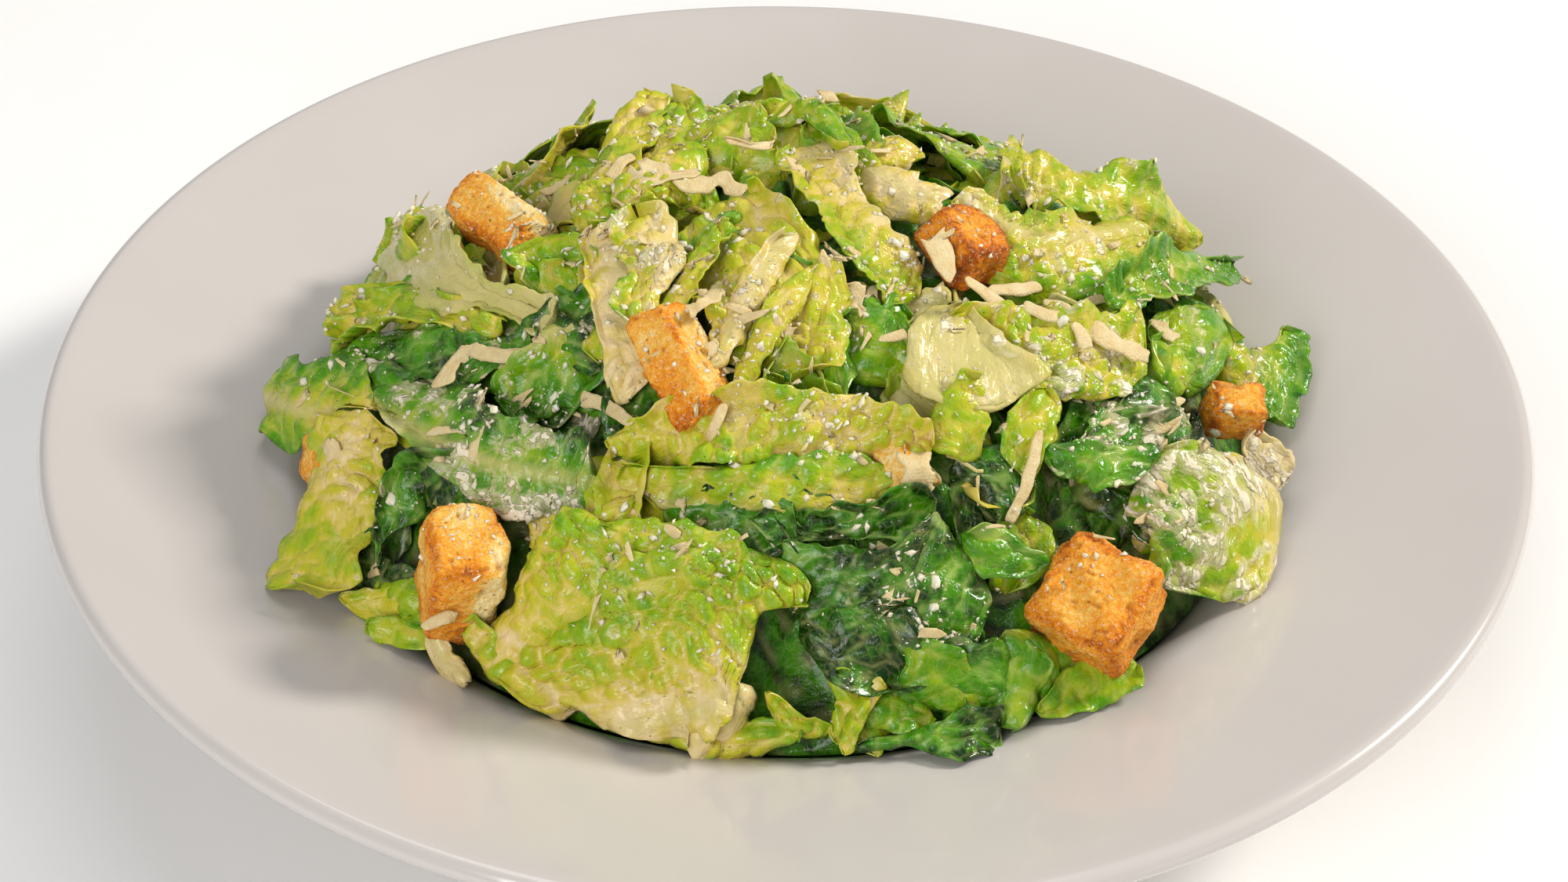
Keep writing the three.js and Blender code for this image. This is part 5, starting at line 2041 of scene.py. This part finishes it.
@dataclass(frozen=True)
class Shred:
    """A shaving of cheese.

    Attributes:
        width: across.
        path: three points of its line.
        thickness: of the shaving.
        torn: how ragged it is.
        blunt: how squarely its ends are cut off.
        hover: the most that its middle may lie over what carries it.
        flake_width: a shaving wider than this is a flake, with its sides turned up.
        facet: size of a facet.
    """

    width: float
    path: tuple[Point, Point, Point]
    thickness: float = 0.42
    torn: float = 0.7
    blunt: float = 14
    hover: float = 0.2
    flake_width: float = 4.5
    facet: float = 0.5

    def add(self, batch: Batch, seed: int, bed: BVHTree) -> None:
        """Adds the shaving to a batch, let down until it touches what is under it.

        Args:
            batch: where it goes.
            seed: of its own torn outline.
            bed: the leaves and croutons that it lies on.
        """
        half = self.width / 2
        sides = (half, half, half)
        lean = 0.6 * FRONT
        cup = 4
        flake = self.width > self.flake_width
        torn = self.torn * max(1.0, self.width - 1.4)
        strip = Ribbon.laid(self.path, sides, sides, cup, lean, self.facet, torn, seed, self.blunt)
        noise = Noise(seed)
        curl = noise.layers(strip.points, (0.25, 6.0), (0.1, 1.5))
        strip = strip.moved(curl + (0.5 * strip.v**2 if flake else 0))
        spots = strip.points.reshape(-1, 3)
        under = [bed.find_nearest(spot) for spot in spots.tolist()]
        first = min(range(len(under)), key=lambda k: under[k][3])
        touch, _, _, gap = under[first]
        if gap > self.hover:
            strip.points[...] += (np.array(touch) - spots[first]) * (1 - self.hover / gap)
        thickness = self.thickness * (0.7 + 0.3 * blend(0.0, 0.5, strip.edge))
        add_sheet(batch, strip, thickness, 0.1 * noise.lumps(strip.points, 0.8))


SHREDS = (
    Shred(3.4, ((-63, -35, 73), (-61, -28, 74), (-58, -27, 76))),
    Shred(2.4, ((-58, -27, 76), (-54, -30, 77), (-48, -33, 79))),
    Shred(2.6, ((45, -51, 77), (43, -57, 72), (39, -63, 65))),
    Shred(3.2, ((47, -20, 84), (57, -26, 81), (67, -24, 74))),
    Shred(2.4, ((42, -26, 87), (47, -27, 86), (53, -25, 83))),
    Shred(2.0, ((55, -14, 80), (65, -6, 76), (75, 4, 70))),
    Shred(5.5, ((-32, -1, 92), (-26, 0, 95), (-20, 6, 95))),
    Shred(4.2, ((-20, 1, 95), (-13, 2, 95), (-6, -3, 95))),
    Shred(6.0, ((5, -25, 95), (10, -28, 92), (14, -31, 88))),
    Shred(2.5, ((-55, -47, 73), (-51, -50, 73), (-48, -52, 73))),
    Shred(2.5, ((-38, -43, 77), (-33, -47, 79), (-28, -54, 81))),
    Shred(5.0, ((-10, 13, 95), (-7, 12, 95), (-3, 14, 94))),
    Shred(3.0, ((-34, 6, 92), (-32, 10, 93), (-30, 12, 93))),
    Shred(4.0, ((67, -10, 74), (69, -13, 73), (71, -14, 72))),
    Shred(4.0, ((21, -49, 77), (22, -62, 79), (24, -65, 73))),
    Shred(1.8, ((-11, -57, 87), (-13, -60, 84), (-14, -58, 80))),
    Shred(2.2, ((-63, -77, 51), (-59, -77, 53), (-57, -76, 52))),
    Shred(3.0, ((-18, -43, 97), (-14, -39, 97), (-11, -20, 88))),
    Shred(2.6, ((32, -28, 95), (36, -25, 90), (39, -26, 88))),
    Shred(2.4, ((37, -24, 89), (42, -19, 86), (47, -15, 84))),
    Shred(4.0, ((22, -15, 97), (24, -18, 95), (26, -22, 93))),
    Shred(4.0, ((-46, 20, 80), (-43, 20, 81), (-39, 23, 82))),
    Shred(2.5, ((52, -27, 84), (53, -29, 83), (54, -31, 81))),
    Shred(4.0, ((-89, -24, 46), (-85, -32, 55), (-82, -33, 57))),
)


@dataclass(frozen=True)
class Grain:
    """One kind of small lump.

    Attributes:
        name: of the piece that they make.
        count: how many.
        least: across the smallest.
        spread: how much wider the largest is.
        rarity: how rare the large ones are.
        by_coat: how strongly they keep to leaves with dressing, from 0 to 1.
        flat: how much lower than wide they are.
        rough: how uneven they are.
        facets: round each.
    """

    name: str
    count: int
    least: float
    spread: float
    rarity: float
    by_coat: float
    flat: float
    rough: float
    facets: int


CRUMBS = Grain("cheese_crumbs", 6300, 0.3, 1.7, 4.5, 0.35, 0.5, 1.1, 4)
DROPS = Grain("dressing_drops", 520, 0.5, 2.3, 4, 0.95, 0.3, 0.45, 8)


@dataclass
class Scatter:
    """What was scattered over the leaves: shards and crumbs of cheese, drops of dressing.

    Attributes:
        heap: the leaves, once they are built.
        bread: the croutons, once they are built.
        shards: how many thin shards lie about.
        shards_by_coat: how strongly they keep to leaves with dressing, from 0 to 1.
        on_bread: how much the croutons hold, as a leaf's coat.
        seed: of every draw.
        bed_radius: how far from the middle things fall.
        steepest: how far from upright they fall towards the front, in degrees.
        patch: size of the patches where more of them lie.
        sparse: how much lies between the patches.
        full_coat: a leaf holds all it can from one part in this of a full coat.
        clear: how far they keep from being inside a crouton.
    """

    heap: Heap
    bread: Bread
    shards: int = 310
    shards_by_coat: float = 0.2
    on_bread: float = 0.25
    seed: int = 606
    bed_radius: float = 93
    steepest: float = 48
    patch: float = 11.0
    sparse: float = 0.12
    full_coat: float = 1.6
    clear: float = 0.6

    def __post_init__(self) -> None:
        """Gathers the tops of the leaves and the croutons, which everything lands on."""
        self.random = np.random.default_rng(self.seed)
        self.patches = Noise(self.seed)
        corners, faces, start = [], [], 0
        for top in self.heap.tops:
            rows, columns = top.shape[:2]
            corners.append(top.reshape(-1, 3))
            faces.append(grid_faces(rows, columns, start))
            start += rows * columns
        self.leafy = sum(len(quads) for quads in faces)
        coats = [c.ravel() for c in self.heap.coats]
        for points, quads in self.bread.skins:
            corners.append(points)
            faces.append(quads + start)
            coats.append(np.full(len(points), self.on_bread))
            start += len(points)
        self.points = np.concatenate(corners)
        self.quads = np.concatenate(faces)
        self.coat = np.concatenate(coats)
        self.tree = BVHTree.FromPolygons(self.points.tolist(), self.quads.tolist())

    def spots(self, count: int, by_coat: float) -> list[tuple[Array, Array]]:
        """Places on the leaves that lie open to the sky or the front.

        Args:
            count: how many.
            by_coat: how strongly they keep to leaves with dressing, from 0 to 1.

        Returns:
            Points and outward directions.
        """
        found = []
        aim_height, start_off, ray_length = 60.0, 120, 260
        while len(found) < count:
            reach = self.bed_radius * math.sqrt(self.random.random())
            azimuth = 2 * math.pi * self.random.random()
            tilt = math.radians(self.random.uniform(0, self.steepest))
            way = Vector((0.0, -math.sin(tilt), math.cos(tilt)))
            aim = Vector((reach * math.cos(azimuth), reach * math.sin(azimuth), aim_height))
            keep = self.random.random()
            hit, normal, face, _ = self.tree.ray_cast(aim + way * start_off, -way, ray_length)
            if hit is None:
                continue
            coat = self.coat[self.quads[face][0]]
            patch = blend(-0.1, 0.6, self.patches.lumps(np.array(hit), self.patch))
            bare = 1 - min(1.0, coat * self.full_coat)
            if keep < by_coat * bare or self.random.random() > self.sparse + patch:
                continue
            spot = np.array(hit)
            if face < self.leafy and self.bread.holds(spot[None], self.clear)[0]:
                continue
            outward = np.array(normal)
            outward = outward if outward @ np.array(way) > 0 else -outward
            found.append((spot, outward))
        return found

    def pebble(self, facets: int) -> Array:
        """A ball, to be pushed into crumbs and drops.

        Args:
            facets: round it.

        Returns:
            Its rings of points.
        """
        turn = np.linspace(0, 2 * np.pi, facets, endpoint=False)
        up = np.linspace(0.06, 0.94, facets // 2 + 1) * np.pi
        wide, high = np.sin(up)[:, None], -np.cos(up)[:, None]
        return np.stack([wide * np.cos(turn), wide * np.sin(turn), high + 0 * turn], axis=-1)

    def grains(self, grain: Grain, material: Material) -> Piece:
        """Makes small lumps of one kind in one piece.

        Args:
            grain: their kind.
            material: their finish.

        Returns:
            The piece.
        """
        sizes = grain.least + grain.spread * self.random.random(grain.count) ** grain.rarity
        spots = self.spots(grain.count, grain.by_coat)
        ball = self.pebble(grain.facets)
        batch = Batch()
        for k, ((spot, outward), size) in enumerate(zip(spots, sizes)):
            shape = ball * (1 + grain.rough * Noise(k).lumps(ball * 1.7, 1.0)[..., None])
            wide = size * np.array([1, self.random.uniform(0.45, 0.9), grain.flat])
            side = unit(np.cross(outward, self.random.normal(size=3)))
            turn = np.stack([side, np.cross(outward, side), outward])
            points = (shape * wide / 2) @ turn + spot + outward * size * grain.flat * 0.15
            batch.add_rings(points, turned=True)
        return place(batch.build(grain.name, material), "lettuce_heap", "lettuce_heap")

    def shavings(self, material: Material) -> Piece:
        """Makes the shreds, flakes and thin shards of cheese in one piece.

        Args:
            material: their finish.

        Returns:
            The piece.
        """
        batch = Batch()
        for k, shred in enumerate(SHREDS):
            shred.add(batch, 40 + k, self.tree)
        for k, (spot, outward) in enumerate(self.spots(self.shards, self.shards_by_coat)):
            side = unit(np.cross(outward, self.random.normal(size=3)))
            half = 0.5 + 1.9 * self.random.random() ** 5
            lift = outward * self.random.uniform(0.1, 0.6)
            path = tuple(tuple(spot + lift + side * half * end) for end in (-1, 0, 1))
            width = min(1.6, half * self.random.uniform(0.5, 1.6))
            blunt = self.random.choice((4, 9, 20))
            Shred(width, path, 0.35, 3.5, blunt).add(batch, 400 + k, self.tree)
        return place(batch.build("cheese_shavings", material), "lettuce_heap", "lettuce_heap")

    def build(self) -> list[Piece]:
        """Makes the cheese and the dressing.

        Returns:
            The pieces.
        """
        cheese = CheeseFinish().make("grated_cheese")
        cream = DressingFinish().make("creamy_dressing")
        crumb = CheeseFinish(((0.0, "ead6a6"), (1.0, "fbf5e4"))).make("cheese_crumb")
        return [self.shavings(cheese), self.grains(CRUMBS, crumb), self.grains(DROPS, cream)]


# ---------------- stage


@dataclass(frozen=True)
class Panel:
    """A soft square light.

    Attributes:
        name: what it is called.
        at: where it hangs, in metres.
        size: its side, in metres.
        power: in watts.
        colour: of its light.
        aim: what it points at, in metres.
    """

    name: str
    at: Three
    size: float
    power: float
    colour: str = "ffffff"
    aim: Three = (0, 0, 0.05)

    def hang(self) -> None:
        """Adds the light."""
        lamp = bpy.data.lights.new(self.name, "AREA")
        lamp.size = self.size
        lamp.energy = self.power
        lamp.color = linear(self.colour)[:3]
        made = bpy.data.objects.new(self.name, lamp)
        made.location = self.at
        made.rotation_euler = (Vector(self.aim) - Vector(self.at)).to_track_quat("-Z", "Y").to_euler()
        bpy.context.scene.collection.objects.link(made)


@dataclass
class Stage:
    """The pale table, the lights and the camera.

    Attributes:
        distance: from the camera to the point it looks at.
        tilt: how far the camera looks down, in degrees.
        roll: how far it is turned about its own axis, in degrees.
        aim: the point it looks at.
        sensor: width of the camera's sensor.
        focal: length of the lens.
        sky: colour of the pale room.
        sky_strength: how much light it gives.
        panels: the lights.
        table_side: half the table's side.
        table_top: height of the table, a hair below the plate.
    """

    distance: float = 715
    tilt: float = 37.78
    roll: float = 1.036
    aim: Point = (-0.5, -16.6, 48)
    sensor: float = 36
    focal: float = 4816 / 2000 * sensor
    sky: str = "f4f6fa"
    sky_strength: float = 0.31
    panels: tuple[Panel, ...] = (
        Panel("key_light", (2.0, 0.7, 1.6), 0.5, 61, "fffaf2"),
        Panel("top_light", (-0.1, 0.35, 1.2), 0.7, 3),
        Panel("front_light", (-0.4, -1.0, 0.7), 0.6, 8.5),
    )
    table_side: float = 2600
    table_top: float = -0.2

    def build(self) -> None:
        """Lays the table, hangs the lights and sets up the camera."""
        self.table()
        for panel in self.panels:
            panel.hang()
        self.camera()

    def table(self) -> None:
        """Makes the table top and the pale room round it."""
        batch = Batch()
        rows = 9
        edge = np.linspace(-self.table_side, self.table_side, rows)
        x, y = np.meshgrid(edge, edge, indexing="ij")
        batch.add(np.stack([x, y, self.table_top + 0 * x], axis=-1), grid_faces(rows, rows)[:, ::-1])
        top = batch.build("table_top", TableFinish().make("pale_table"), smooth=False)
        world = bpy.data.worlds.new("pale_room")
        bpy.context.scene.world = world
        world.use_nodes = True
        background = world.node_tree.nodes["Background"]
        background.inputs["Color"].default_value = linear(self.sky)
        background.inputs["Strength"].default_value = self.sky_strength

    def camera(self) -> None:
        """Sets up the camera and how light turns into colour."""
        tilt, roll = math.radians(self.tilt), math.radians(self.roll)
        back = Vector((0, -math.cos(tilt), math.sin(tilt)))
        right = Vector((1, 0, 0))
        up = back.cross(right)
        across = right * math.cos(roll) + up * math.sin(roll)
        upward = up * math.cos(roll) - right * math.sin(roll)
        lens = bpy.data.cameras.new("front_view")
        lens.sensor_width = self.sensor
        lens.lens = self.focal
        lens.clip_start = 0.01
        made = bpy.data.objects.new("front_view", lens)
        turn = Matrix((across, upward, back)).transposed().to_4x4()
        eye = Vector(self.aim) + back * self.distance
        made.matrix_world = Matrix.Translation(eye * MM) @ turn
        scene = bpy.context.scene
        scene.collection.objects.link(made)
        scene.camera = made
        scene.view_settings.view_transform = "Standard"


def main() -> None:
    """Builds the salad round its solids."""
    logging.basicConfig(level=logging.INFO, format="%(message)s")
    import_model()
    plate = Plate()
    bread = Bread()
    heap = Heap(bread, plate)
    plate.build()
    bread.build()
    heap.build()
    Scatter(heap, bread).build()
    Stage().build()
    bpy.context.view_layer.update()


if __name__ == "__main__":
    main()
